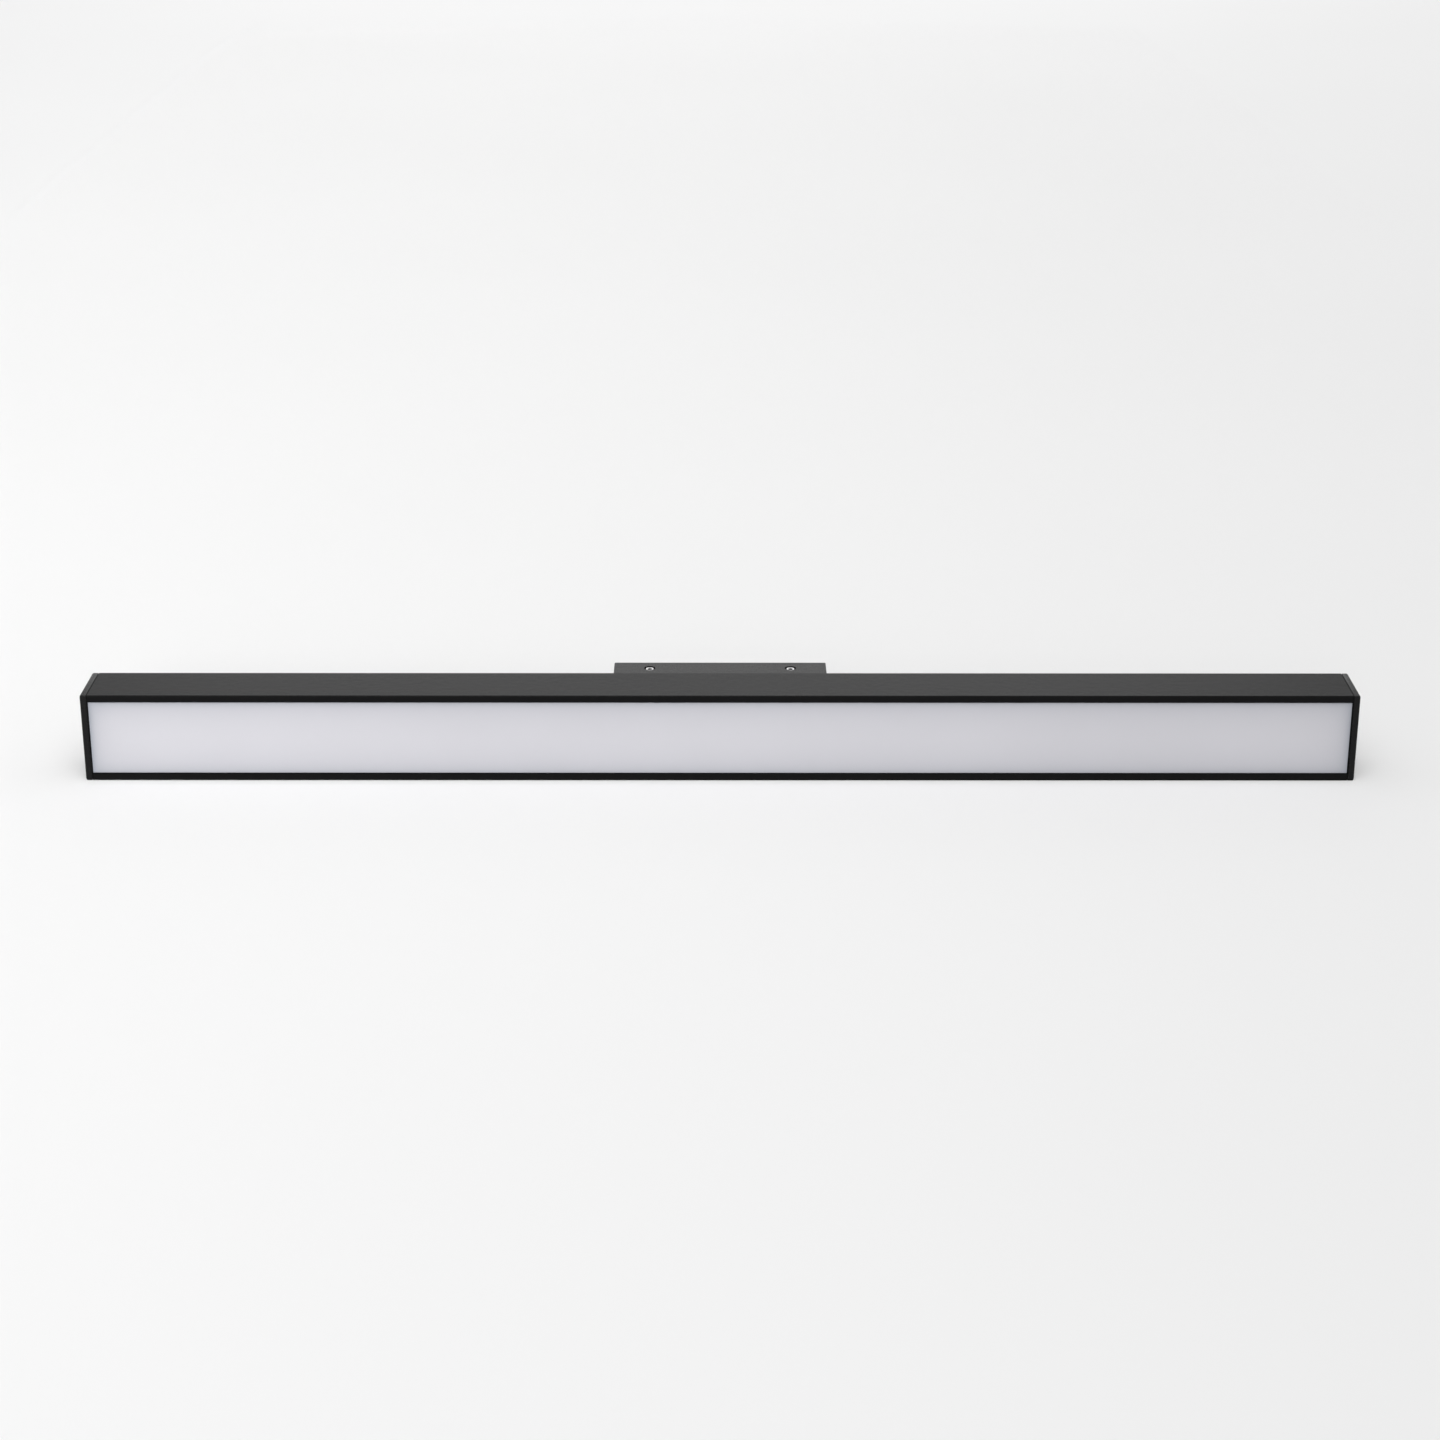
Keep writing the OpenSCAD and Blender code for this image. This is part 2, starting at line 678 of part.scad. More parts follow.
module driver_tape() {
    color([0.9, 0.88, 0.82]) y_block(driver_x + tape_in, y_driver, 0,
        [driver_l - 2 * tape_in, tape_t, driver_w - tape_in]);
}

module driver_case() {
    inner_l = driver_l - 2 * case_t;
    post_z = driver_w / 2 - case_t - 2 * post_r;
    color([0.92, 0.92, 0.92]) {
        difference() {
            y_block(driver_x, y_driver - case_h, 0, [driver_l, case_h, driver_w]);
            y_block(driver_x + case_t, y_driver - case_h - through, 0,
                [inner_l, case_h + through - case_t, driver_w - 2 * case_t]);
            for (s = [-1, 1]) {
                x_hole(driver_x, driver_wire_y, s * driver_wire_z, case_t, wire_r + wire_gap,
                    fn_small);
                x_hole(driver_x + driver_l - case_t, driver_wire_y, s * dc_wire_z, case_t,
                    dc_wire_r + wire_gap, fn_small);
            }
        }
        for (x = [post_in, inner_l - post_in], s = [-1, 1]) // posts under the board
            y_rod(driver_x + case_t + x, y_driver - case_t - pcb_lift, s * post_z,
                pcb_lift + eps, post_r, fn_small);
    }
}

module driver_lid() {
    lip_in = case_t + lid_slack;
    lip_l = driver_l - 2 * lip_in;
    lip_w = driver_w - 2 * lip_in;
    color([0.88, 0.88, 0.88]) {
        y_block(driver_x, y_driver_front, 0, [driver_l, lid_t, driver_w]);
        difference() {
            y_block(driver_x + lip_in, y_driver_front + lid_t - eps, 0,
                [lip_l, lid_lip + eps, lip_w]);
            y_block(driver_x + lip_in + lid_lip, y_driver_front, 0,
                [lip_l - 2 * lid_lip, lid_t + lid_lip + through, lip_w - 2 * lid_lip]);
        }
    }
}

module driver_board() {
    gap = case_t + pcb_gap;
    color([0.1, 0.35, 0.16])
        y_block(driver_x + gap, y_pcb, 0, [driver_l - 2 * gap, pcb_t, driver_w - 2 * gap]);
}

module driver_transformer() {
    color([0.22, 0.2, 0.2]) y_block(driver_x + (driver_l - core_size[0]) / 2, y_pcb - part_h, 0,
        [core_size[0], part_h, core_size[1]]);
}

module driver_capacitors() {
    r = part_h / 2;
    z = driver_w / 2 - case_t - 1.5 * part_h;
    color([0.12, 0.14, 0.3]) {
        x_rod(driver_x + part_in, y_pcb - r, z, capacitor_l, r);
        x_rod(driver_x + driver_l - part_in - capacitor_l, y_pcb - r, -z, capacitor_l, r);
    }
}

// Joint between the canopy and the bar

module nut_plate() {
    y = y_wall_in - nut_plate_t;
    color([0.7, 0.7, 0.72]) difference() {
        y_block(-nut_plate_l / 2, y, 0, [nut_plate_l, nut_plate_t, nut_plate_w]);
        y_hole(0, y, 0, nut_plate_t, grommet_flange_r + plate_slack);
        for (s = [-1, 1])
            y_hole(s * canopy_screw_gap / 2, y, 0, nut_plate_t, canopy_screw_r + fit_gap);
    }
}

// A grommet in a wall that runs from y_low to y_high
module grommet(x, z, y_low, y_high, groove_r, flange_r, flange_t, bore_r) {
    length = y_high - y_low + 2 * flange_t;
    color([0.06, 0.06, 0.06]) difference() {
        union() {
            y_rod(x, y_low - flange_t, z, length, groove_r - fit_gap);
            y_rod(x, y_low - flange_t, z, flange_t, flange_r);
            y_rod(x, y_high, z, flange_t, flange_r);
        }
        y_hole(x, y_low - flange_t, z, length, bore_r);
    }
}

module web_grommet() {
    grommet(dc_hole_x, dc_z, y_tray, y_web_back, dc_grommet_r, dc_flange_r, dc_flange_t,
        dc_bore_r);
}

module mains_grommet() {
    grommet(0, 0, y_wall_in, y_can_in, grommet_r, grommet_flange_r, grommet_flange_t,
        grommet_bore_r);
}

module canopy() {
    color([0.1, 0.1, 0.1]) difference() {
        along_y(y_back, canopy_d) rounded_rect(canopy_w, canopy_h, canopy_r);
        along_y(y_can_in, canopy_d) rounded_rect(canopy_in_w, canopy_in_h, canopy_r / 2);
        y_hole(0, y_back, 0, canopy_t, grommet_r);
        for (s = [-1, 1]) {
            y_hole(s * canopy_screw_gap / 2, y_back, 0, canopy_t, canopy_screw_r + hole_gap);
            translate([s * lock_gap / 2, lock_y, canopy_in_h / 2 - through])
                cylinder(h = canopy_t + 2 * through, r = lock_hole_r, $fn = fn_round);
        }
        y_hole(block_mid_x, y_back, ear_z, canopy_t, small_screw_r + fit_gap, fn_small);
        y_hole(earth_x, y_back, earth_z, canopy_t, small_screw_r + fit_gap, fn_small);
    }
}

module canopy_screws() {
    color([0.78, 0.78, 0.8]) for (s = [-1, 1])
        pan_screw_y(s * canopy_screw_gap / 2, y_can_in, 0, canopy_screw_r,
            canopy_t + wall_t + nut_plate_t + canopy_screw_tip);
}

// Locking

module lock_nut_bar() {
    color([0.72, 0.72, 0.74]) difference() {
        translate([-nut_bar_l / 2, lock_y - nut_bar_w / 2, nut_bar_z])
            cube([nut_bar_l, nut_bar_w, nut_bar_h]);
        for (s = [-1, 1]) translate([s * lock_gap / 2, lock_y, nut_bar_z - through])
            cylinder(h = nut_bar_h + 2 * through, r = lock_r, $fn = fn_round);
    }
}

module lock_screw(side) {
    r = lock_r - run_gap;
    length = lock_top - flange_top;
    color([0.82, 0.82, 0.84]) translate([side * lock_gap / 2, lock_y, flange_top])
        difference() {
            union() {
                cylinder(h = lock_tip, r1 = r - lock_tip, r2 = r, $fn = fn_round);
                translate([0, 0, lock_tip - eps])
                    cylinder(h = length - lock_tip - lock_chamfer + eps, r = r, $fn = fn_round);
                translate([0, 0, length - lock_chamfer - eps])
                    cylinder(h = lock_chamfer + eps, r1 = r, r2 = r - lock_chamfer,
                        $fn = fn_round);
            }
            translate([0, 0, length - lock_socket_d])
                cylinder(h = lock_socket_d + through, r = hex_radius(lock_hex), $fn = 6);
        }
}

// Terminal block, with its poles' axes along X

module terminal_block() {
    pocket = clamp_side + 2 * clamp_slack;
    color([0.93, 0.93, 0.9]) difference() {
        union() {
            y_block(block_x, y_can_in, 0, [block_l, block_h, block_w]);
            translate([block_mid_x - ear_l / 2, y_can_in, -block_w / 2 - block_ear])
                cube([ear_l, ear_t, block_ear + eps]);
        }
        for (z = pole_zs) {
            x_hole(block_x, pole_y, z, block_l, clamp_bore_r + hole_gap, fn_small);
            y_block(block_mid_x - clamp_l / 2 - clamp_slack, pole_y - pocket / 2, z,
                [clamp_l + 2 * clamp_slack, pocket, pocket]);
            for (s = [-1, 1])
                y_rod(block_mid_x + s * clamp_screw_off, pole_y, z, block_h,
                    clamp_screw_r + hole_gap, fn_small);
        }
        y_hole(block_mid_x, y_can_in, ear_z, ear_t, small_screw_r + hole_gap, fn_small);
    }
}

module terminal_clamps() {
    color([0.8, 0.66, 0.35]) for (z = pole_zs) difference() {
        y_block(block_mid_x - clamp_l / 2, pole_y - clamp_side / 2, z,
            [clamp_l, clamp_side, clamp_side]);
        x_hole(block_mid_x - clamp_l / 2, pole_y, z, clamp_l, clamp_bore_r, fn_small);
        for (s = [-1, 1])
            y_rod(block_mid_x + s * clamp_screw_off, pole_y, z, clamp_side,
                clamp_screw_r + fit_gap, fn_small);
    }
}

module terminal_screws() {
    slot = [3 * clamp_screw_r, clamp_slot_d + through, clamp_slot_w];
    color([0.75, 0.75, 0.77]) for (z = pole_zs, s = [-1, 1])
        translate([block_mid_x + s * clamp_screw_off, pole_y + clamp_bore_r, z]) difference() {
            y_rod(0, 0, 0, clamp_screw_l, clamp_screw_r, fn_small);
            y_block(-slot[0] / 2, clamp_screw_l - clamp_slot_d, 0, slot);
        }
}

module terminal_mount_screw() {
    color([0.75, 0.75, 0.77]) pan_screw_y(block_mid_x, y_can_in + ear_t, ear_z, small_screw_r,
        ear_t + canopy_t + wall_t);
}

module earth_tag() {
    barrel_x = earth_x - tag_l;
    color([0.8, 0.78, 0.7]) difference() {
        union() {
            y_rod(earth_x, y_can_in, earth_z, tag_t, tag_r);
            y_block(barrel_x + barrel_l / 2, y_can_in, earth_z,
                [tag_l - barrel_l / 2, tag_t, 2 * barrel_r]);
            x_rod(barrel_x, tag_y, earth_z, barrel_l, barrel_r, fn_small);
        }
        y_hole(earth_x, y_can_in, earth_z, tag_t, small_screw_r + hole_gap, fn_small);
        x_rod(barrel_x - through, tag_y, earth_z, through + barrel_bore_d, wire_r + wire_gap,
            fn_small);
    }
}

module earth_screw() {
    color([0.8, 0.66, 0.35]) pan_screw_y(earth_x, y_can_in + tag_t, earth_z, small_screw_r,
        tag_t + canopy_t + wall_t);
}

// Wall bracket: a folded strip, drawn as [depth, height] and run along X

module bracket_section() {
    h = flange_top - flange_bottom;
    fold_zs = [flange_bottom + bend_r, flange_top - bend_r];
    difference() {
        union() {
            translate([-flange_l, flange_bottom]) square([flange_l - bend_r, h]);
            translate([-bend_r - eps, fold_zs[0]]) square([bend_r + eps, h - 2 * bend_r]);
            for (z = fold_zs) translate([-bend_r, z]) circle(bend_r, $fn = fn_round);
        }
        translate([-flange_l - through, flange_bottom + bracket_t])
            square([flange_l + through - bend_r, h - 2 * bracket_t]);
        translate([-bend_r - eps, fold_zs[0]])
            square([bend_r + eps - bracket_t, h - 2 * bend_r]);
        for (z = fold_zs) translate([-bend_r, z]) circle(fold_r, $fn = fn_round);
    }
}

module wall_bracket() {
    slot_run = slot_l / 2 - slot_r;
    color([0.74, 0.75, 0.77]) difference() {
        translate([-bracket_w / 2, 0, 0]) rotate([90, 0, 90]) linear_extrude(bracket_w)
            bracket_section();
        y_hole(0, -bracket_t, 0, bracket_t, cable_r);
        for (s = [-1, 1]) {
            for (k = [-1, 1])
                y_hole(s * slot_gap / 2 + k * slot_run, -bracket_t, 0, bracket_t, slot_r);
            y_block(s * slot_gap / 2 - slot_run, -bracket_t - through, 0,
                [2 * slot_run, bracket_t + 2 * through, 2 * slot_r]);
        }
        y_hole(cable_r + bracket_earth_off, -bracket_t, earth_z, bracket_t,
            small_screw_r + fit_gap, fn_small);
    }
}

module bracket_earth_screw() {
    color([0.8, 0.66, 0.35]) translate([cable_r + bracket_earth_off, -bracket_t, earth_z])
        rotate([90, 0, 0]) pan_screw(small_screw_r, bracket_t);
}

housing_profile();
diffuser();
mirror([1, 0, 0]) at_right_end() cap();  // end_cap_left
at_right_end() cap();  // end_cap_right
mirror([1, 0, 0]) at_right_end() gasket();  // end_gasket_left
at_right_end() gasket();  // end_gasket_right
end_cap_screws();
reflector_tray();
led_board(-1);  // led_board_left
led_board(1);  // led_board_right
led_chips();
led_board_screws();
board_link();
board_plug();
driver_tape();
driver_case();
driver_lid();
driver_board();
driver_transformer();
driver_capacitors();
nut_plate();
web_grommet();
mains_grommet();
canopy();
canopy_screws();
lock_nut_bar();
lock_screw(-1);  // lock_screw_left
lock_screw(1);  // lock_screw_right
terminal_block();
terminal_clamps();
terminal_screws();
terminal_mount_screw();
earth_tag();
earth_screw();
color([0.45, 0.25, 0.12]) wire(line_route, wire_r);  // wire_line
color([0.15, 0.3, 0.6]) wire(neutral_route, wire_r);  // wire_neutral
color([0.45, 0.6, 0.15]) wire(earth_route, wire_r);  // wire_earth
color([0.7, 0.08, 0.06]) wire(dc_route(1), dc_wire_r);  // wire_dc_plus
color([0.06, 0.06, 0.06]) wire(dc_route(-1), dc_wire_r);  // wire_dc_minus
wall_bracket();
bracket_earth_screw();
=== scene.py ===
"""Vanity light bar: the finishes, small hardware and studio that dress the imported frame.

Metres throughout. +X runs along the bar, +Y goes into the wall and +Z is up.
"""
import json
import math

import bpy
from mathutils import Matrix, Vector

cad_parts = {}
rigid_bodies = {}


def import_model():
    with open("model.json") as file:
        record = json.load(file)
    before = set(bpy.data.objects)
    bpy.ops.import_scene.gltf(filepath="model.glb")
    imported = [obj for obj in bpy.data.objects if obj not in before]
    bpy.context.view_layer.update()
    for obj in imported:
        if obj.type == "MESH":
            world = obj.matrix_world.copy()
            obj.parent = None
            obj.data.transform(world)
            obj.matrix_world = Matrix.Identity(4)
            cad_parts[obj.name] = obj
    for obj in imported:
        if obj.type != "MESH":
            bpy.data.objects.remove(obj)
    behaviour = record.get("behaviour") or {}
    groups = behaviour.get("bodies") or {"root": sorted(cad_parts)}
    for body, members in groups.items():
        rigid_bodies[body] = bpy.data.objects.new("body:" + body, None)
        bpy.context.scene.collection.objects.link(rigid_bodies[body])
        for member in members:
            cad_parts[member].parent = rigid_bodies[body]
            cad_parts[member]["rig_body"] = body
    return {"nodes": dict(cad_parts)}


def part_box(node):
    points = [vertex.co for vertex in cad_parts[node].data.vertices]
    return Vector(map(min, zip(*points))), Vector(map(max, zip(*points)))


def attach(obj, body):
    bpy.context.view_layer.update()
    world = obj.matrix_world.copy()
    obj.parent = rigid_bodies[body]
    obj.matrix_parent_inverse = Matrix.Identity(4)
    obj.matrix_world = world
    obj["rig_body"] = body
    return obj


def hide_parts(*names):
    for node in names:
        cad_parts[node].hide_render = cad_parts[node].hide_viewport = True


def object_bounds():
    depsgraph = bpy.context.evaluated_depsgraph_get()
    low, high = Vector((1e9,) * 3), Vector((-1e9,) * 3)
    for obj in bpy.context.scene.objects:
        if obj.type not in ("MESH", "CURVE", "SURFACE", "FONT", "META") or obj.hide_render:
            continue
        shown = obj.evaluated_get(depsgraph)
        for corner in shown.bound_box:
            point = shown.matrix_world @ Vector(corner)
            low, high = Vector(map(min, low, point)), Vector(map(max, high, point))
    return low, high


bl_info = {
    "name": "Vanity Light Bar",
    "version": (1, 0, 0),
    "blender": (4, 5, 0),
    "location": "3D View > Sidebar > Light Bar",
    "description": "Dresses a black linear wall light and sets it in a pale studio",
    "category": "Object",
}

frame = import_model()
CAD_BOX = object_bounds()
NODES = frame["nodes"]
MM = 0.001
LENS_LOW, LENS_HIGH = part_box("diffuser")
BAR_LOW, BAR_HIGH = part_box("housing_profile")
# Height of the bar's lips above and below the diffuser
LIP_H = 3.4 * MM
# How squarely a face has to look along an axis to be picked
SQUARE = 0.9
# Radius and height of a pan head, in radii of its thread
HEAD_RADIUS = 1.9
HEAD_RISE = 1.3
# Pitch and depth of the M3 screws' thread
M3_THREAD = (0.5 * MM, 0.2 * MM)
BRASS = (0.72, 0.52, 0.2)


# Settings


class LightBarFinishes(bpy.types.PropertyGroup):
    """Colours and grain of the surfaces that show."""

    coat_colour: bpy.props.FloatVectorProperty(
        name="Coat", description="Powder coat on the bar, its caps and the canopy",
        subtype="COLOR", size=3, min=0, max=1, default=(0.0028, 0.0028, 0.003))
    coat_grain: bpy.props.FloatProperty(
        name="Coat grain", description="Size of the bumps in the powder coat",
        unit="LENGTH", min=0.0001, max=0.002, default=0.00042)
    lens_colour: bpy.props.FloatVectorProperty(
        name="Diffuser", description="Opal acrylic away from its edges",
        subtype="COLOR", size=3, min=0, max=1, default=(0.513, 0.508, 0.539))
    # Colour of the painted shade right at the diffuser's edges, where less light reaches it
    lens_shade_colour: bpy.props.FloatVectorProperty(
        name="Diffuser edge", description="Opal acrylic right at its edges",
        subtype="COLOR", size=3, min=0, max=1, default=(0.25, 0.265, 0.30))
    # Reaches of the painted shade along the diffuser's edges: its dark rim and the softer band
    # inside it
    lens_shade_near: bpy.props.FloatProperty(
        name="Rim shade", description="Reach of the dark rim along the diffuser's edges",
        unit="LENGTH", min=0.0005, max=0.01, default=0.0015)
    lens_shade_far: bpy.props.FloatProperty(
        name="Edge shade", description="Reach of the soft shade inside that rim",
        unit="LENGTH", min=0.001, max=0.03, default=0.006)
    zinc_colour: bpy.props.FloatVectorProperty(
        name="Zinc", description="Bright zinc plating on the bracket and the steel hardware",
        subtype="COLOR", size=3, min=0, max=1, default=(0.52, 0.53, 0.55))
    nickel_colour: bpy.props.FloatVectorProperty(
        name="Nickel", description="Nickel plating on the two set screws",
        subtype="COLOR", size=3, min=0, max=1, default=(0.66, 0.66, 0.68))


class LightBarHardware(bpy.types.PropertyGroup):
    """Sizes of the small hardware that is modelled here."""

    edge_radius: bpy.props.FloatProperty(
        name="Edge radius", description="Rounding of the hardware's sharp edges",
        unit="LENGTH", min=0.00002, max=0.0005, default=0.00015)
    thread_pitch: bpy.props.FloatProperty(
        name="Thread pitch", description="Distance between the threads of the 4 mm screws",
        unit="LENGTH", min=0.0004, max=0.001, default=0.0007)
    thread_depth: bpy.props.FloatProperty(
        name="Thread depth", description="Depth of those threads",
        unit="LENGTH", min=0.0001, max=0.0005, default=0.00032)
    set_screw_depth: bpy.props.FloatProperty(
        name="Set screw depth", description="How far the two screws sit below the canopy's top",
        unit="LENGTH", min=0, max=0.001, default=0.00027)
    mains_wire_radius: bpy.props.FloatProperty(
        name="Mains wire radius", description="Radius of a mains wire over its insulation",
        unit="LENGTH", min=0.0005, max=0.0015, default=0.001)
    low_voltage_wire_radius: bpy.props.FloatProperty(
        name="Low-voltage wire radius", description="Radius of a low-voltage wire",
        unit="LENGTH", min=0.0004, max=0.001, default=0.00075)


class LightBarStudio(bpy.types.PropertyGroup):
    """The floor, the lamps and the camera."""

    floor_colour: bpy.props.FloatVectorProperty(
        name="Floor", description="Colour of the floor", subtype="COLOR", size=3, min=0, max=1,
        default=(0.87, 0.87, 0.87))
    backdrop_colour: bpy.props.FloatVectorProperty(
        name="Backdrop", description="Colour beyond the floor, as seen and as reflected",
        subtype="COLOR", size=3, min=0, max=1, default=(0.77, 0.77, 0.77))
    room_light: bpy.props.FloatProperty(
        name="Room light", description="Strength of the even light from all round",
        min=0, max=2, default=0.513)
    key_power: bpy.props.FloatProperty(
        name="Key light", description="Power of the gridded panel in front, at the left",
        subtype="POWER", unit="POWER", min=0, max=500, default=4.95)
    key_place: bpy.props.FloatVectorProperty(
        name="Key place", description="Where that panel stands", subtype="XYZ", size=3,
        unit="LENGTH", default=(-0.88, -3.28, 1.3))
    key_aim: bpy.props.FloatProperty(
        name="Key aim", description="How far along X that panel points", unit="LENGTH",
        default=-0.7)
    key_size: bpy.props.FloatProperty(
        name="Key size", description="Side of that panel", unit="LENGTH", min=0.1, max=3,
        default=1.6)
    key_spread: bpy.props.FloatProperty(
        name="Key spread", description="Angle of the beam that its grid leaves",
        subtype="ANGLE", default=math.radians(30))
    overhead_strength: bpy.props.FloatProperty(
        name="Overhead", description="Strength of the broad light above and in front",
        min=0, max=10, default=1.377)
    overhead_height: bpy.props.FloatProperty(
        name="Overhead height", description="How high that light stands above the floor",
        subtype="ANGLE", default=math.radians(58))
    overhead_softness: bpy.props.FloatProperty(
        name="Overhead softness", description="How wide that light looks from the object",
        subtype="ANGLE", default=math.radians(60))
    back_power: bpy.props.FloatProperty(
        name="Back light", description="Power of the dim panel behind the bar",
        subtype="POWER", unit="POWER", min=0, max=500, default=7.1)
    back_place: bpy.props.FloatVectorProperty(
        name="Back place", description="Where that panel stands", subtype="XYZ", size=3,
        unit="LENGTH", default=(-0.05, 3.4, 1.35))
    back_size: bpy.props.FloatProperty(
        name="Back size", description="Side of that panel", unit="LENGTH", min=0.1, max=3,
        default=2.0)
    camera_place: bpy.props.FloatVectorProperty(
        name="Camera place", description="Where the camera stands", subtype="XYZ", size=3,
        unit="LENGTH", default=(-0.00082, -1.33576, 0.50704))
    camera_pitch: bpy.props.FloatProperty(
        name="Camera pitch", description="How far the camera looks down", subtype="ANGLE",
        default=math.radians(21.118))
    camera_yaw: bpy.props.FloatProperty(
        name="Camera yaw", description="How far it turns to the left", subtype="ANGLE",
        default=math.radians(-0.034))
    camera_roll: bpy.props.FloatProperty(
        name="Camera roll", description="How far it leans to the left", subtype="ANGLE",
        default=math.radians(0.036))
    camera_lens: bpy.props.FloatProperty(
        name="Camera lens", description="Focal length on a 36 mm wide sensor, in millimetres",
        min=10, max=300, default=73.574)


# Node trees


def add(tree, kind, inputs=None, **settings):
    """A node with its settings, and with each input set to a value or linked to a socket."""
    made = tree.nodes.new("ShaderNode" + kind)
    for name, value in settings.items():
        setattr(made, name, value)
    for name, value in (inputs or {}).items():
        if isinstance(value, bpy.types.NodeSocket):
            tree.links.new(value, made.inputs[name])
        else:
            made.inputs[name].default_value = value
    return made


def begin(name, **sockets):
    """A new material with one Principled shader, as (material, tree, shader)."""
    material = bpy.data.materials.new(name)
    material.use_nodes = True
    tree = material.node_tree
    shader = tree.nodes["Principled BSDF"]
    for socket, value in sockets.items():
        shader.inputs[socket.replace("_", " ")].default_value = value
    return material, tree, shader


def place(tree, scale=(1, 1, 1), turn=(0, 0, 0)):
    """The point on the surface in the object's own metres, scaled and turned."""
    coords = add(tree, "TexCoord").outputs["Object"]
    return add(tree, "Mapping",
               {"Vector": coords, "Scale": scale, "Rotation": turn}).outputs["Vector"]


def noise(tree, at, size, detail=2.0, roughness=0.5, distortion=0.0):
    """Cloudy noise with patches of about this size."""
    return add(tree, "TexNoise", {"Vector": at, "Scale": 1 / size, "Detail": detail,
                                  "Roughness": roughness,
                                  "Distortion": distortion}).outputs["Fac"]


def cells(tree, at, size):
    """Distance to the middle of the nearest of many cells of about this size."""
    return add(tree, "TexVoronoi", {"Vector": at, "Scale": 1 / size}).outputs["Distance"]


def spread(tree, value, low, high, start=0.0, end=1.0):
    """Value from low..high mapped to start..end."""
    return add(tree, "MapRange", {"Value": value, "From Min": low, "From Max": high,
                                  "To Min": start, "To Max": end}).outputs["Result"]


def mid_range(tree, value, start=0.0, end=1.0):
    """The middle of a noise, where most of it lies, mapped to start..end."""
    return spread(tree, value, 0.3, 0.7, start, end)


def work_out(tree, operation, a, b=0.0):
    """One sum on a and b, by the name of the Math node's operation."""
    return add(tree, "Math", {0: a, 1: b}, operation=operation).outputs["Value"]


def fade(tree, distance, reach, start):
    """Start at no distance, dying away over the reach."""
    exponent = work_out(tree, "DIVIDE", distance, -reach)
    return work_out(tree, "MULTIPLY", work_out(tree, "EXPONENT", exponent), start)


def mix(tree, factor, a, b):
    """Colour a turning into colour b. The numbers are the node's colour sockets."""
    return add(tree, "Mix", {0: factor, 6: a, 7: b}, data_type="RGBA").outputs[2]


def toned(colour, factor):
    """The same colour, lighter or darker, with its alpha."""
    return tuple(min(c * factor, 1.0) for c in colour[:3]) + (1.0,)


def relief(tree, height, depth, strength=1.0, under=None):
    """Bumps of this depth in metres, on top of any under them."""
    inputs = {"Height": height, "Distance": depth, "Strength": strength}
    if under:
        inputs["Normal"] = under
    return add(tree, "Bump", inputs).outputs["Normal"]


def join_up(tree, shader, colour, roughness=None, normal=None):
    """Links the finished colour, roughness and normal to the shader."""
    for socket, value in (("Base Color", colour), ("Roughness", roughness), ("Normal", normal)):
        if value:
            tree.links.new(value, shader.inputs[socket])


# Finishes


def powder_coat(name, gloss, smooth, rough):
    """Fine-textured matte black powder coat: pebbled, a little cloudy, with stray dust."""
    finishes = bpy.context.scene.light_bar_finishes
    colour, grain = finishes.coat_colour, finishes.coat_grain
    material, tree, shader = begin(name, Specular_IOR_Level=gloss)
    at = place(tree)
    pebbles = noise(tree, at, grain, detail=3.0, roughness=0.6)
    peel = noise(tree, at, grain * 7, detail=1.0)
    clouds = noise(tree, at, size=0.06, detail=3.0)
    dust = spread(tree, noise(tree, at, grain * 1.7, detail=2.0), 0.68, 0.78)
    speckled = mix(tree, mid_range(tree, pebbles), toned(colour, 0.7), toned(colour, 1.35))
    clouded = mix(tree, mid_range(tree, clouds, 0.0, 0.35), speckled, toned(colour, 1.7))
    dusted = mix(tree, work_out(tree, "MULTIPLY", dust, 0.25), clouded, toned(colour, 8))
    dull = spread(tree, pebbles, 0.25, 0.75, smooth, rough)
    normal = relief(tree, peel, depth=0.00006, under=relief(tree, pebbles, depth=0.00005))
    join_up(tree, shader, dusted, dull, normal)
    return material


def opal_acrylic(name):
    """Satin opal acrylic, with painted shade, greyer and bluer, where it runs into the frame."""
    finishes = bpy.context.scene.light_bar_finishes
    material, tree, shader = begin(name, IOR=1.49, Specular_IOR_Level=0.35)
    at = place(tree)
    xyz = add(tree, "SeparateXYZ", {"Vector": at})
    half_x = (LENS_HIGH.x - LENS_LOW.x) / 2
    half_z = (BAR_HIGH.z - BAR_LOW.z) / 2 - LIP_H
    # Depth of the painted shade's rim at the ends and along the sides, and of the softer painted
    # shade inside it
    end_rim, side_rim, soft = 0.55, 0.3, 0.45
    open_face = 1.0
    for axis, half, rim in (("X", half_x, end_rim), ("Z", half_z, side_rim)):
        inside = work_out(tree, "SUBTRACT", half,
                          work_out(tree, "ABSOLUTE", xyz.outputs[axis]))
        near = fade(tree, inside, finishes.lens_shade_near, rim)
        far = fade(tree, inside, finishes.lens_shade_far, soft)
        away = work_out(tree, "SUBTRACT", 1.0, work_out(tree, "ADD", near, far))
        open_face = work_out(tree, "MULTIPLY", open_face, away)
    # How deep the painted shade is at this point of the diffuser
    edge = work_out(tree, "SUBTRACT", 1.0, open_face)
    body = mix(tree, mid_range(tree, noise(tree, at, size=0.09, detail=2.0)),
               toned(finishes.lens_colour, 0.985), toned(finishes.lens_colour, 1.015))
    fine = noise(tree, at, size=0.0006, detail=3.0)
    shaded = mix(tree, edge, body, finishes.lens_shade_colour[:] + (1.0,))
    join_up(tree, shader, shaded, mid_range(tree, fine, 0.42, 0.52),
            relief(tree, fine, depth=0.00001))
    return material


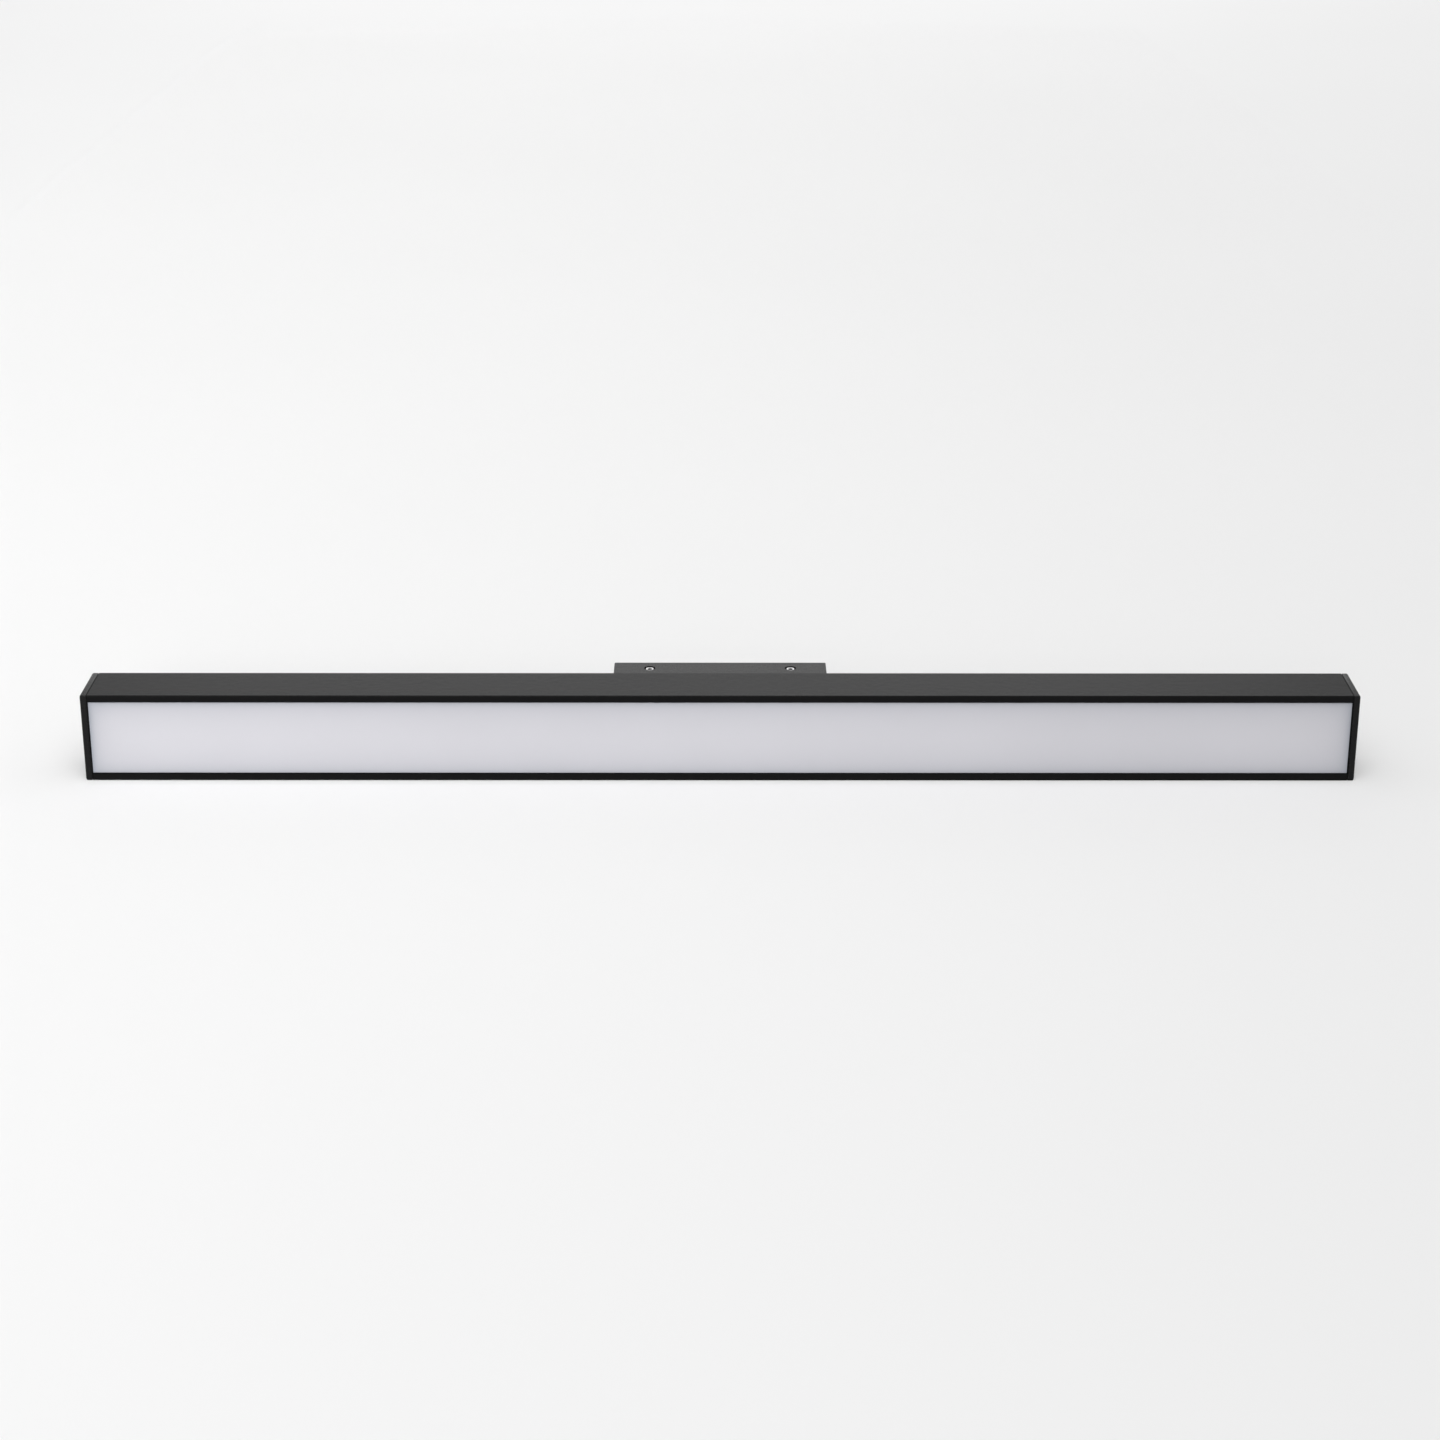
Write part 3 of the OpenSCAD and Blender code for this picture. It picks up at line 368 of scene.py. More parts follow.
def moulded_rubber(name, colour, gloss=0.3, bloom=0.15):
    """Matte moulded rubber, with a light bloom where it is not kept covered."""
    material, tree, shader = begin(name, Specular_IOR_Level=gloss, Sheen_Weight=bloom)
    at = place(tree)
    grit = noise(tree, at, size=0.0003, detail=4.0)
    stains = noise(tree, at, size=0.006, detail=3.0)
    tinted = mix(tree, spread(tree, stains, 0.35, 0.7), toned(colour, 0.8), toned(colour, 1.6))
    join_up(tree, shader, tinted, mid_range(tree, grit, 0.68, 0.85),
            relief(tree, grit, depth=0.00004))
    return material


def plated_metal(name, colour, low, high, streak=(1, 1, 1), spots=0.35):
    """Plated metal: soft patches, fine drawn lines along the streak and a few dull spots.
    Low and high bound its roughness, here and for plastic."""
    material, tree, shader = begin(name, Metallic=1.0)
    at = place(tree)
    drawn = noise(tree, place(tree, scale=streak), size=0.0005, detail=3.0)
    patches = noise(tree, at, size=0.008, detail=3.0)
    dull = spread(tree, noise(tree, at, size=0.0022, detail=4.0), 0.58, 0.72)
    warm = (colour[0] * 0.97, colour[1] * 0.93, colour[2] * 0.84, 1.0)
    tinted = mix(tree, spread(tree, patches, 0.35, 0.75, 0.0, 0.5), toned(colour, 1.0), warm)
    spotted = mix(tree, work_out(tree, "MULTIPLY", dull, spots), tinted, toned(colour, 0.55))
    rough = work_out(tree, "ADD", spread(tree, drawn, 0.25, 0.75, low, high),
                     work_out(tree, "MULTIPLY", dull, 0.16))
    join_up(tree, shader, spotted, rough, relief(tree, drawn, depth=0.00002))
    return material


def moulded_plastic(name, colour, low, high, grain=0.0004):
    """Injection-moulded plastic: a spark-eroded grain, slight flow marks and faint scuffs."""
    material, tree, shader = begin(name, Specular_IOR_Level=0.45)
    at = place(tree)
    etched = cells(tree, at, grain)
    flow = noise(tree, place(tree, scale=(0.3, 1, 1)), size=0.008, detail=2.0, distortion=0.6)
    rubbed = noise(tree, place(tree, scale=(1, 1, 9)), size=0.006, detail=5.0)
    scuffs = spread(tree, rubbed, 0.6, 0.72)
    tinted = mix(tree, mid_range(tree, flow), toned(colour, 0.93), toned(colour, 1.03))
    scuffed = mix(tree, work_out(tree, "MULTIPLY", scuffs, 0.12), tinted, toned(colour, 0.6))
    rough = work_out(tree, "ADD", mid_range(tree, flow, low, high),
                     work_out(tree, "MULTIPLY", scuffs, 0.15))
    join_up(tree, shader, scuffed, rough, relief(tree, etched, depth=0.00002, strength=0.6))
    return material


def circuit_board(name, colour, track, pitch, share):
    """Solder mask over copper: tracks show as slightly raised, lighter lines and pads."""
    material, tree, shader = begin(name, Specular_IOR_Level=0.5, Coat_Weight=0.25,
                                   Coat_Roughness=0.25)
    at = place(tree, turn=(math.radians(90), 0, 0))
    tracks = add(tree, "TexBrick", {"Vector": at, "Scale": 1.0, "Mortar Size": pitch * share,
                                    "Brick Width": pitch * 2.6, "Row Height": pitch,
                                    "Mortar Smooth": 0.1}).outputs["Fac"]
    pads = spread(tree, cells(tree, at, pitch * 1.8), 0.16, 0.13)
    copper = work_out(tree, "MAXIMUM", tracks, pads)
    weave = noise(tree, place(tree), size=0.0007, detail=2.0)
    mask = mix(tree, mid_range(tree, weave), toned(colour, 0.92), toned(colour, 1.05))
    tinted = mix(tree, work_out(tree, "MULTIPLY", copper, 0.6), mask, track[:3] + (1.0,))
    join_up(tree, shader, tinted, mid_range(tree, weave, 0.36, 0.46),
            relief(tree, copper, depth=0.00003))
    return material


def led_package(name):
    """White package with a pale yellow gel in its round well."""
    material, tree, shader = begin(name, Specular_IOR_Level=0.5)
    xyz = add(tree, "SeparateXYZ", {"Vector": place(tree)})
    grains = noise(tree, place(tree), size=0.0002, detail=3.0)
    low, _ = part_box("led_chips")
    well_radius = 1.08 * MM
    gel = spread(tree, xyz.outputs["Y"], low.y + 0.1 * MM, low.y + 0.2 * MM)
    white = mix(tree, grains, (0.76, 0.76, 0.74, 1), (0.82, 0.82, 0.8, 1))
    yellow = mix(tree, grains, (0.86, 0.66, 0.12, 1), (0.93, 0.78, 0.3, 1))
    in_well = work_out(tree, "LESS_THAN", work_out(tree, "ABSOLUTE", xyz.outputs["Z"]),
                       well_radius)
    tinted = mix(tree, work_out(tree, "MULTIPLY", gel, in_well), white, yellow)
    join_up(tree, shader, tinted, mid_range(tree, grains, 0.3, 0.45),
            relief(tree, grains, depth=0.00001))
    return material


def foam_tape(name, colour):
    """Closed-cell foam with a liner-smooth face."""
    material, tree, shader = begin(name, Specular_IOR_Level=0.25)
    at = place(tree)
    bubbles = cells(tree, at, size=0.0005)
    tinted = mix(tree, spread(tree, bubbles, 0.1, 0.6), toned(colour, 0.75), toned(colour, 1.05))
    join_up(tree, shader, tinted, spread(tree, bubbles, 0.0, 0.6, 0.6, 0.8),
            relief(tree, bubbles, depth=0.00008))
    return material


def sintered_core(name, colour):
    """Dark sintered ferrite with sparkling grains."""
    material, tree, shader = begin(name, Specular_IOR_Level=0.5)
    at = place(tree)
    grains = cells(tree, at, size=0.00025)
    stains = noise(tree, at, size=0.004, detail=4.0)
    tinted = mix(tree, mid_range(tree, stains), toned(colour, 0.7), toned(colour, 1.4))
    join_up(tree, shader, tinted, spread(tree, grains, 0.0, 0.6, 0.35, 0.6),
            relief(tree, grains, depth=0.00003))
    return material


def capacitor_sleeve(name, colour):
    """Shrunk sleeve, with a pale polarity stripe along the can."""
    material, tree, shader = begin(name, Specular_IOR_Level=0.5)
    xyz = add(tree, "SeparateXYZ", {"Vector": place(tree)})
    wrinkle = noise(tree, place(tree, scale=(0.2, 1, 1)), size=0.0015, detail=3.0)
    _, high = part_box("driver_capacitors")
    from_rim = work_out(tree, "SUBTRACT", high.z, xyz.outputs["Z"])
    stripe_depth = 0.9 * MM
    stripe = work_out(tree, "LESS_THAN", from_rim, stripe_depth)
    sleeve = mix(tree, mid_range(tree, wrinkle), toned(colour, 0.8), toned(colour, 1.25))
    tinted = mix(tree, stripe, sleeve, (0.6, 0.62, 0.66, 1.0))
    join_up(tree, shader, tinted, mid_range(tree, wrinkle, 0.26, 0.4),
            relief(tree, wrinkle, depth=0.00003))
    return material


def insulation(name, colour, stripe=None):
    """Extruded wire insulation, with two stripes along it where the wire has them."""
    material, tree, shader = begin(name, Specular_IOR_Level=0.4)
    around = add(tree, "SeparateXYZ",
                 {"Vector": add(tree, "TexCoord").outputs["UV"]}).outputs["Y"]
    drawn = noise(tree, place(tree), size=0.0005, detail=3.0)
    smudge = noise(tree, place(tree), size=0.004, detail=3.0)
    tinted = mix(tree, mid_range(tree, smudge), toned(colour, 0.85), toned(colour, 1.1))
    if stripe:
        stripes, share = 2.0, 0.4
        turns = work_out(tree, "FRACT", work_out(tree, "MULTIPLY", around, stripes))
        banded = work_out(tree, "LESS_THAN", turns, share)
        tinted = mix(tree, banded, tinted, stripe + (1.0,))
    join_up(tree, shader, tinted, mid_range(tree, drawn, 0.38, 0.5),
            relief(tree, drawn, depth=0.00001))
    return material


def studio_floor(name):
    """Plain pale floor that shows its colour and keeps the object's shadow."""
    studio = bpy.context.scene.light_bar_studio
    material, tree, shader = begin(name, Specular_IOR_Level=0.0, Roughness=0.9)
    at = place(tree)
    mottle = mid_range(tree, noise(tree, at, size=0.5, detail=1.0))
    tinted = mix(tree, mottle, toned(studio.floor_colour, 0.995),
                 toned(studio.floor_colour, 1.005))
    join_up(tree, shader, tinted)
    return material


# Modelling


def select_only(piece):
    bpy.ops.object.select_all(action="DESELECT")
    piece.select_set(True)
    bpy.context.view_layer.objects.active = piece


def pick_faces(piece, test):
    """Edit mode with only the faces that pass the test selected."""
    bpy.ops.object.mode_set(mode="EDIT")
    bpy.ops.mesh.select_mode(type="FACE")
    bpy.ops.mesh.select_all(action="DESELECT")
    bpy.ops.object.mode_set(mode="OBJECT")
    for face in piece.data.polygons:
        face.select = test(face)
    bpy.ops.object.mode_set(mode="EDIT")


def faces_up(face):
    return face.normal.z > SQUARE


def faces_down(face):
    return face.normal.z < -SQUARE


def rod(vertices, radius, length, middle):
    """A plain rod along Z whose middle is at this height."""
    bpy.ops.object.select_all(action="DESELECT")
    bpy.ops.mesh.primitive_cylinder_add(vertices=vertices, radius=radius, depth=length,
                                        end_fill_type="NGON", location=(0, 0, middle))
    piece = bpy.context.object
    bpy.ops.object.transform_apply(location=True)
    return piece


def grow(rise, widen):
    """Extrudes the selected end face along Z, then scales it about the axis."""
    bpy.ops.mesh.extrude_region_move(
        TRANSFORM_OT_translate={"value": (0, 0, rise), "orient_type": "GLOBAL"})
    if widen != 1:
        bpy.ops.transform.resize(value=(widen, widen, 1), center_override=(0, 0, 0))


def apply_modifier(piece, kind, **settings):
    select_only(piece)
    bpy.ops.object.modifier_add(type=kind)
    modifier = piece.modifiers[-1]
    for name, value in settings.items():
        setattr(modifier, name, value)
    bpy.ops.object.modifier_apply(modifier=modifier.name)


def cut(piece, cutter):
    """Takes the cutter's shape out of the piece and deletes the cutter."""
    apply_modifier(piece, "BOOLEAN", operation="DIFFERENCE", object=cutter, solver="EXACT")
    bpy.data.objects.remove(cutter)


def smooth(piece, angle=35):
    """Shades the piece smooth, but for edges sharper than the angle in degrees."""
    select_only(piece)
    bpy.ops.object.shade_smooth_by_angle(angle=math.radians(angle))


def copy_at(piece, name, matrix):
    """A copy with its own mesh, moved within the mesh."""
    mesh = piece.data.copy()
    mesh.transform(matrix)
    copy = bpy.data.objects.new(name, mesh)
    bpy.context.scene.collection.objects.link(copy)
    return copy


def joined(pieces, name):
    select_only(pieces[0])
    for piece in pieces:
        piece.select_set(True)
    bpy.ops.object.join()
    pieces[0].name = name
    return pieces[0]


def stand_in(piece, node, material):
    """Gives the piece its finish and puts it in place of a CAD node, on that node's body."""
    piece.data.materials.clear()
    piece.data.materials.append(material)
    body = NODES[node]["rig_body"]
    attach(piece, body)
    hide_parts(node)


def round_off(node, material, share=1.0, segments=3, angle=30):
    """Puts a copy of a CAD node in its place, rounded by a share of the edge radius."""
    edge_radius = bpy.context.scene.light_bar_hardware.edge_radius
    stand_in(softened(node, share * edge_radius, segments, angle), node, material)


def dress(material, *nodes):
    """Gives CAD nodes that stay their finish."""
    for node in nodes:
        NODES[node].material_slots[0].material = material


def softened(node, width, segments, angle):
    """A copy of a CAD node with its triangles merged and its sharp edges rounded."""
    piece = bpy.data.objects.new(node + "_rounded", NODES[node].data.copy())
    bpy.context.scene.collection.objects.link(piece)
    select_only(piece)
    bpy.ops.mesh.customdata_custom_splitnormals_clear()
    bpy.ops.object.mode_set(mode="EDIT")
    bpy.ops.mesh.select_all(action="SELECT")
    bpy.ops.mesh.remove_doubles(threshold=0.000001)
    bpy.ops.mesh.dissolve_limited(angle_limit=math.radians(0.5))
    bpy.ops.object.mode_set(mode="OBJECT")
    apply_modifier(piece, "BEVEL", width=width, segments=segments, limit_method="ANGLE",
                   angle_limit=math.radians(angle), use_clamp_overlap=True)
    smooth(piece, angle)
    return piece


def cross_cutter(arm, width, depth, top):
    """A tapered cross that cuts the drive recess of a pan head screw."""
    taper = 0.55
    bpy.ops.object.select_all(action="DESELECT")
    bpy.ops.mesh.primitive_cube_add(size=width, location=(0, 0, top - depth / 2))
    cutter = bpy.context.object
    cutter.scale = (1, 1, depth / width)
    bpy.ops.object.transform_apply(location=True, scale=True)
    for axis in (0, 1):
        for side in (-1, 1):
            pick_faces(cutter, lambda face: face.normal[axis] * side > SQUARE
                       and abs(face.center[1 - axis]) < width / 2)
            move = [0, 0, 0]
            move[axis] = side * (arm - width / 2)
            bpy.ops.mesh.extrude_region_move(
                TRANSFORM_OT_translate={"value": move, "orient_type": "GLOBAL"})
    pick_faces(cutter, faces_down)
    bpy.ops.transform.resize(value=(taper, taper, 1), center_override=(0, 0, 0))
    bpy.ops.object.mode_set(mode="OBJECT")
    return cutter


def cut_thread(turns, pitch, root, slope, flat):
    """Grows turns of thread down to the root. Slope and flat are shares of the pitch."""
    for _ in range(turns):
        grow(-pitch * slope, root)
        grow(-pitch * flat, 1)
        grow(-pitch * slope, 1 / root)
        grow(-pitch * flat, 1)


def pan_head_screw(radius, length, pitch, depth):
    """A cross-recess pan head screw along +Z: its head sits on z = 0."""
    head = radius * HEAD_RADIUS
    rise = radius * HEAD_RISE
    neck = 0.4 * MM
    screw = rod(40, radius, neck, -neck / 2)
    pick_faces(screw, faces_up)
    underside, bottom_edge, straight = 0.96, 0.06, 0.42
    grow(0, head * underside / radius)
    grow(rise * bottom_edge, 1 / underside)
    grow(rise * straight, 1)
    # The crown's flat and arc in head radii, its share of the height, and its steps in degrees
    flat, arc, crown = 0.62, 0.38, 0.52
    steps, between = (15, 32, 50, 68), 17
    reach = 1.0
    for step in steps:
        wider = flat + arc * math.cos(math.radians(step))
        up = math.sin(math.radians(step)) - math.sin(math.radians(step - between))
        grow(rise * crown * up / math.sin(math.radians(steps[-1])), wider / reach)
        reach = wider
    pick_faces(screw, lambda face: faces_down(face) and face.center.z < -neck / 2)
    turns = max(int((length - 2 * neck) / pitch), 1)
    cut_thread(turns, pitch, 1 - depth / radius, slope=0.4, flat=0.1)
    tip = 0.8
    grow(-(length - neck - turns * pitch), tip)
    bpy.ops.object.mode_set(mode="OBJECT")
    top = max(v.co.z for v in screw.data.vertices)
    cut(screw, cross_cutter(arm=head * 0.5, width=head * 0.17, depth=rise * 0.62,
                            top=top + 0.05 * MM))
    smooth(screw)
    return screw


def set_screw(radius, length, pitch, depth, socket):
    """A cup-point set screw along +Z: its socket end is at z = 0."""
    chamfer = 0.15 * MM
    collar = 0.25 * MM
    screw = rod(48, radius, collar, -chamfer - collar / 2)
    pick_faces(screw, faces_up)
    grow(chamfer, (radius - chamfer) / radius)
    pick_faces(screw, faces_down)
    point = 0.5 * MM
    threaded = length - chamfer - collar - point
    turns = round(threaded / pitch)
    cut_thread(turns, threaded / turns, 1 - depth / radius, slope=0.42, flat=0.08)
    grow(-point, (radius - point) / radius)
    cup_rim, cup_floor, cup_depth = 0.62, 0.4, 0.35 * MM
    grow(0, cup_rim)
    grow(cup_depth, cup_floor)
    bpy.ops.object.mode_set(mode="OBJECT")
    drive_depth, drill_depth, drill_tip = 2 * MM, 0.35 * MM, 0.25
    drive = rod(6, socket, 2 * drive_depth, 0)
    pick_faces(drive, faces_down)
    grow(-drill_depth, drill_tip)
    bpy.ops.object.mode_set(mode="OBJECT")
    cut(screw, drive)
    # A shallow dish leads in, turned so that none of its 48 edges meets a corner of the socket
    sunk, land, turn = 0.25 * MM, 0.03 * MM, math.radians(2.5)
    bottom = socket * 0.92
    rim = radius - chamfer - land
    bpy.ops.object.select_all(action="DESELECT")
    bpy.ops.mesh.primitive_cone_add(vertices=48, radius1=bottom, radius2=2 * rim - bottom,
                                    depth=2 * sunk, rotation=(0, 0, turn))
    lead_in = bpy.context.object
    bpy.ops.object.transform_apply(location=True)
    cut(screw, lead_in)
    smooth(screw)
    return screw


def screw_for(node, turn):
    """A pan head screw in a CAD screw's place, its head at the front if turn is 90 degrees
    and at the back if it is -90."""
    low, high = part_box(node)
    radius = (high.x - low.x) / 2 / HEAD_RADIUS
    rise = radius * HEAD_RISE
    seat = low.y + rise if turn > 0 else high.y - rise
    length = high.y - seat if turn > 0 else seat - low.y
    screw = pan_head_screw(radius, length, *M3_THREAD)
    place_at = Matrix.Translation(((low.x + high.x) / 2, seat, (low.z + high.z) / 2))
    placed = copy_at(screw, node + "_cross_recess",
                     place_at @ Matrix.Rotation(math.radians(turn), 4, "X"))
    bpy.data.objects.remove(screw)
    return placed


def screw_row(screw, name, places, turn):
    """Copies of the screw at these places, turned about X and joined into one piece."""
    turned = Matrix.Rotation(math.radians(turn), 4, "X")
    row = [copy_at(screw, f"{name}_{i}", Matrix.Translation(spot) @ turned)
           for i, spot in enumerate(places)]
    bpy.data.objects.remove(screw)
    return joined(row, name)


def bent_wire(name, points, radius):
    """A round wire on a smooth curve through listed points, given in millimetres."""
    bpy.ops.object.select_all(action="DESELECT")
    bpy.ops.curve.primitive_bezier_curve_add(location=(0, 0, 0))
    wire = bpy.context.object
    wire.name = name
    spline = wire.data.splines[0]
    spline.bezier_points.add(len(points) - 2)
    route = [Vector(point) * MM for point in points]
    before = [2 * route[0] - route[1]] + route[:-1]
    after = route[1:] + [2 * route[-1] - route[-2]]
    # Handles that carry a smooth curve through all the points
    for bend, here, last, following in zip(spline.bezier_points, route, before, after):
        bend.handle_left_type = bend.handle_right_type = "FREE"
        bend.co = here
        lean = (following - last) / 6
        bend.handle_left = here - lean
        bend.handle_right = here + lean
    wire.data.dimensions = "3D"
    wire.data.resolution_u = 10
    wire.data.bevel_depth = radius
    wire.data.bevel_resolution = 6
    wire.data.use_fill_caps = True
    select_only(wire)
    bpy.ops.object.convert(target="MESH")
    smooth(wire, 60)
    return wire


# Routes of the wires, in millimetres


def mains_route(side, height, driver_height):
    """From a pole of the terminal block, through the grommet, to the driver."""
    return [(-22.6, -10.6, side), (-17.6, -10.6, side), (-12.6, -10.6, side * 0.9),
            (-5.5, -10.9, height * 1.4), (-1.9, -13.2, height), (-1.3, -16.2, height),
            (-0.7, -19.6, height), (2.8, -22.6, height * 1.3), (9, -23.2, driver_height),
            (58, -23.2, driver_height), (66.2, -23.2, driver_height)]


def low_voltage_route(side):
    """From the driver, through the web's grommet, to the connector on the board."""
    z = -6.5 + side * 1.05
    return [(207.8, -23.2, side * 1.6), (212.5, -23.2, side * 1.6), (215, -23.2, side * 1.6),
            (221.5, -24.2, -4.55 + side * 1.26), (225.6, -27.4, z), (226, -30.8, z),
            (226, -34.3, z), (227.2, -36, z), (229, -36.5, z), (231, -36.5, z),
            (236.5, -36.5, z)]


EARTH_ROUTE = [(-22.6, -10.6, -4.8), (-17.6, -10.6, -4.8), (-11.6, -10.6, -5.8),
               (-4, -10.8, -8.8), (4, -12.4, -10), (9, -13.3, -10), (12.5, -13.3, -10),
               (17, -13.3, -10)]


# Operators


class LIGHTBAR_OT_housing(bpy.types.Operator):
    """Coats the extruded housing and puts rounded, coated caps and gaskets on its ends"""

    bl_idname = "light_bar.housing"
    bl_label = "Housing and End Caps"

    def execute(self, context):
        dress(powder_coat("housing powder coat", gloss=0.08, smooth=0.27, rough=0.41),
              "housing_profile")
        caps = powder_coat("cap powder coat", gloss=0.17, smooth=0.22, rough=0.36)
        rubber = moulded_rubber("gasket rubber", (0.003, 0.003, 0.003), gloss=0.08, bloom=0.0)
        black_zinc = plated_metal("black zinc", (0.05, 0.05, 0.055), 0.34, 0.5)
        for side in ("left", "right"):
            round_off("end_cap_" + side, caps, share=0.6)
            round_off("end_gasket_" + side, rubber, share=0.4, segments=2)
        round_off("end_cap_screws", black_zinc, share=0.5)
        return {"FINISHED"}


class LIGHTBAR_OT_diffuser(bpy.types.Operator):
    """Gives the diffuser its satin opal finish"""

    bl_idname = "light_bar.diffuser"
    bl_label = "Diffuser"

    def execute(self, context):
        dress(opal_acrylic("opal acrylic"), "diffuser")
        return {"FINISHED"}


class LIGHTBAR_OT_canopy(bpy.types.Operator):
    """Coats the canopy and makes the grommets and the screws that hold it to the bar"""

    bl_idname = "light_bar.canopy"
    bl_label = "Canopy"

    def execute(self, context):
        hardware = context.scene.light_bar_hardware
        zinc = plated_metal("screw zinc", context.scene.light_bar_finishes.zinc_colour[:],
                            0.24, 0.36)
        dress(powder_coat("canopy powder coat", gloss=0.13, smooth=0.22, rough=0.38), "canopy")
        rubber = moulded_rubber("grommet rubber", (0.014, 0.014, 0.014))
        for node in ("mains_grommet", "web_grommet"):
            round_off(node, rubber, share=2.5)
        low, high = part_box("canopy_screws")
        radius = 2 * MM
        sheet = 1.2 * MM
        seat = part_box("canopy")[0].y + sheet
        screw = pan_head_screw(radius, seat - low.y, hardware.thread_pitch,
                               hardware.thread_depth)
        reach = (high.x - low.x) / 2 - radius * HEAD_RADIUS
        pair = screw_row(screw, "canopy_screws_cross_recess",
                         [(-reach, seat, 0), (reach, seat, 0)], turn=-90)
        stand_in(pair, "canopy_screws", zinc)
        return {"FINISHED"}


class LIGHTBAR_OT_locking(bpy.types.Operator):
    """Makes the two threaded set screws, the bar that they run in and the nut plate"""

    bl_idname = "light_bar.locking"
    bl_label = "Set Screws"

    def execute(self, context):
        hardware = context.scene.light_bar_hardware
        finishes = context.scene.light_bar_finishes
        nickel = plated_metal("set screw nickel", finishes.nickel_colour[:], 0.16, 0.26,
                              spots=0.15)
        # Painted shade: the socket's walls are made dark, standing in for the shade in the hole
        socket_shade = plated_metal("socket painted shade", (0.02, 0.02, 0.022), 0.4, 0.55)
        black_zinc = plated_metal("nut bar black zinc", (0.03, 0.03, 0.033), 0.4, 0.55,
                                  streak=(0.1, 1, 1))
        # A 2 mm hexagon, measured to its corners, and where its walls darkened with painted
        # shade lie
        socket = 1.155 * MM
        wall_reach, wall_top, wall_bottom = 1.3 * MM, 0.02 * MM, 2.6 * MM
        for side in ("left", "right"):
            node = "lock_screw_" + side
            low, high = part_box(node)
            middle = (low + high) / 2
            top = high.z - hardware.set_screw_depth
            screw = set_screw((high.x - low.x) / 2, top - low.z, hardware.thread_pitch,
                              hardware.thread_depth, socket)
            placed = copy_at(screw, node + "_threaded",
                             Matrix.Translation((middle.x, middle.y, top)))
            bpy.data.objects.remove(screw)
            stand_in(placed, node, nickel)
            # The socket's walls take the painted shade
            placed.data.materials.append(socket_shade)
            for face in placed.data.polygons:
                out = math.hypot(face.center.x - middle.x, face.center.y - middle.y)
                down = top - face.center.z
                if out < wall_reach and wall_top < down < wall_bottom:
                    face.material_index = 1
        for node in ("lock_nut_bar", "nut_plate"):
            round_off(node, black_zinc)
        return {"FINISHED"}


class LIGHTBAR_OT_bracket(bpy.types.Operator):
    """Plates the wall bracket, rounds its punched edges and makes the two earth screws"""

    bl_idname = "light_bar.bracket"
    bl_label = "Wall Bracket"

    def execute(self, context):
        finishes = context.scene.light_bar_finishes
        zinc = plated_metal("bracket zinc", finishes.zinc_colour[:], 0.3, 0.44,
                            streak=(0.06, 1, 1))
        brass = plated_metal("earth screw brass", BRASS, 0.22, 0.34)
        round_off("wall_bracket", zinc)
        for node, turn in (("bracket_earth_screw", 90), ("earth_screw", -90)):
            stand_in(screw_for(node, turn), node, brass)
        return {"FINISHED"}


class LIGHTBAR_OT_wiring(bpy.types.Operator):
    """Lays the round wires and finishes the terminal block and the earth tag"""

    bl_idname = "light_bar.wiring"
    bl_label = "Wires and Terminals"

    def execute(self, context):
        hardware = context.scene.light_bar_hardware
        finishes = context.scene.light_bar_finishes
        mains, low_voltage = hardware.mains_wire_radius, hardware.low_voltage_wire_radius
        wires = (
            ("wire_line", mains_route(4.8, 1.25, 2.6), mains,
             insulation("brown insulation", (0.13, 0.05, 0.02))),
            ("wire_neutral", mains_route(0, -1.25, -2.6), mains,
             insulation("blue insulation", (0.02, 0.08, 0.34))),
            ("wire_earth", EARTH_ROUTE, mains,
             insulation("green and yellow insulation", (0.03, 0.25, 0.05),
                        (0.75, 0.6, 0.03))),
            ("wire_dc_plus", low_voltage_route(1), low_voltage,
             insulation("red insulation", (0.45, 0.01, 0.01))),
            ("wire_dc_minus", low_voltage_route(-1), low_voltage,
             insulation("black insulation", (0.012, 0.012, 0.012))),
        )
        for node, route, radius, material in wires:
            stand_in(bent_wire(node + "_round", route, radius), node, material)
        nylon = moulded_plastic("terminal nylon", (0.80, 0.79, 0.73), 0.42, 0.54)
        for node in ("terminal_block", "board_plug", "board_link"):
            round_off(node, nylon, share=1.3)
        zinc = plated_metal("terminal screw zinc", finishes.zinc_colour[:], 0.24, 0.36)
        round_off("terminal_screws", zinc, share=0.5)
        stand_in(screw_for("terminal_mount_screw", turn=-90), "terminal_mount_screw", zinc)
        dress(plated_metal("clamp brass", BRASS, 0.2, 0.32), "terminal_clamps")
        tin = plated_metal("tag tin", (0.7, 0.69, 0.66), 0.28, 0.4)
        round_off("earth_tag", tin, share=0.6)
        return {"FINISHED"}


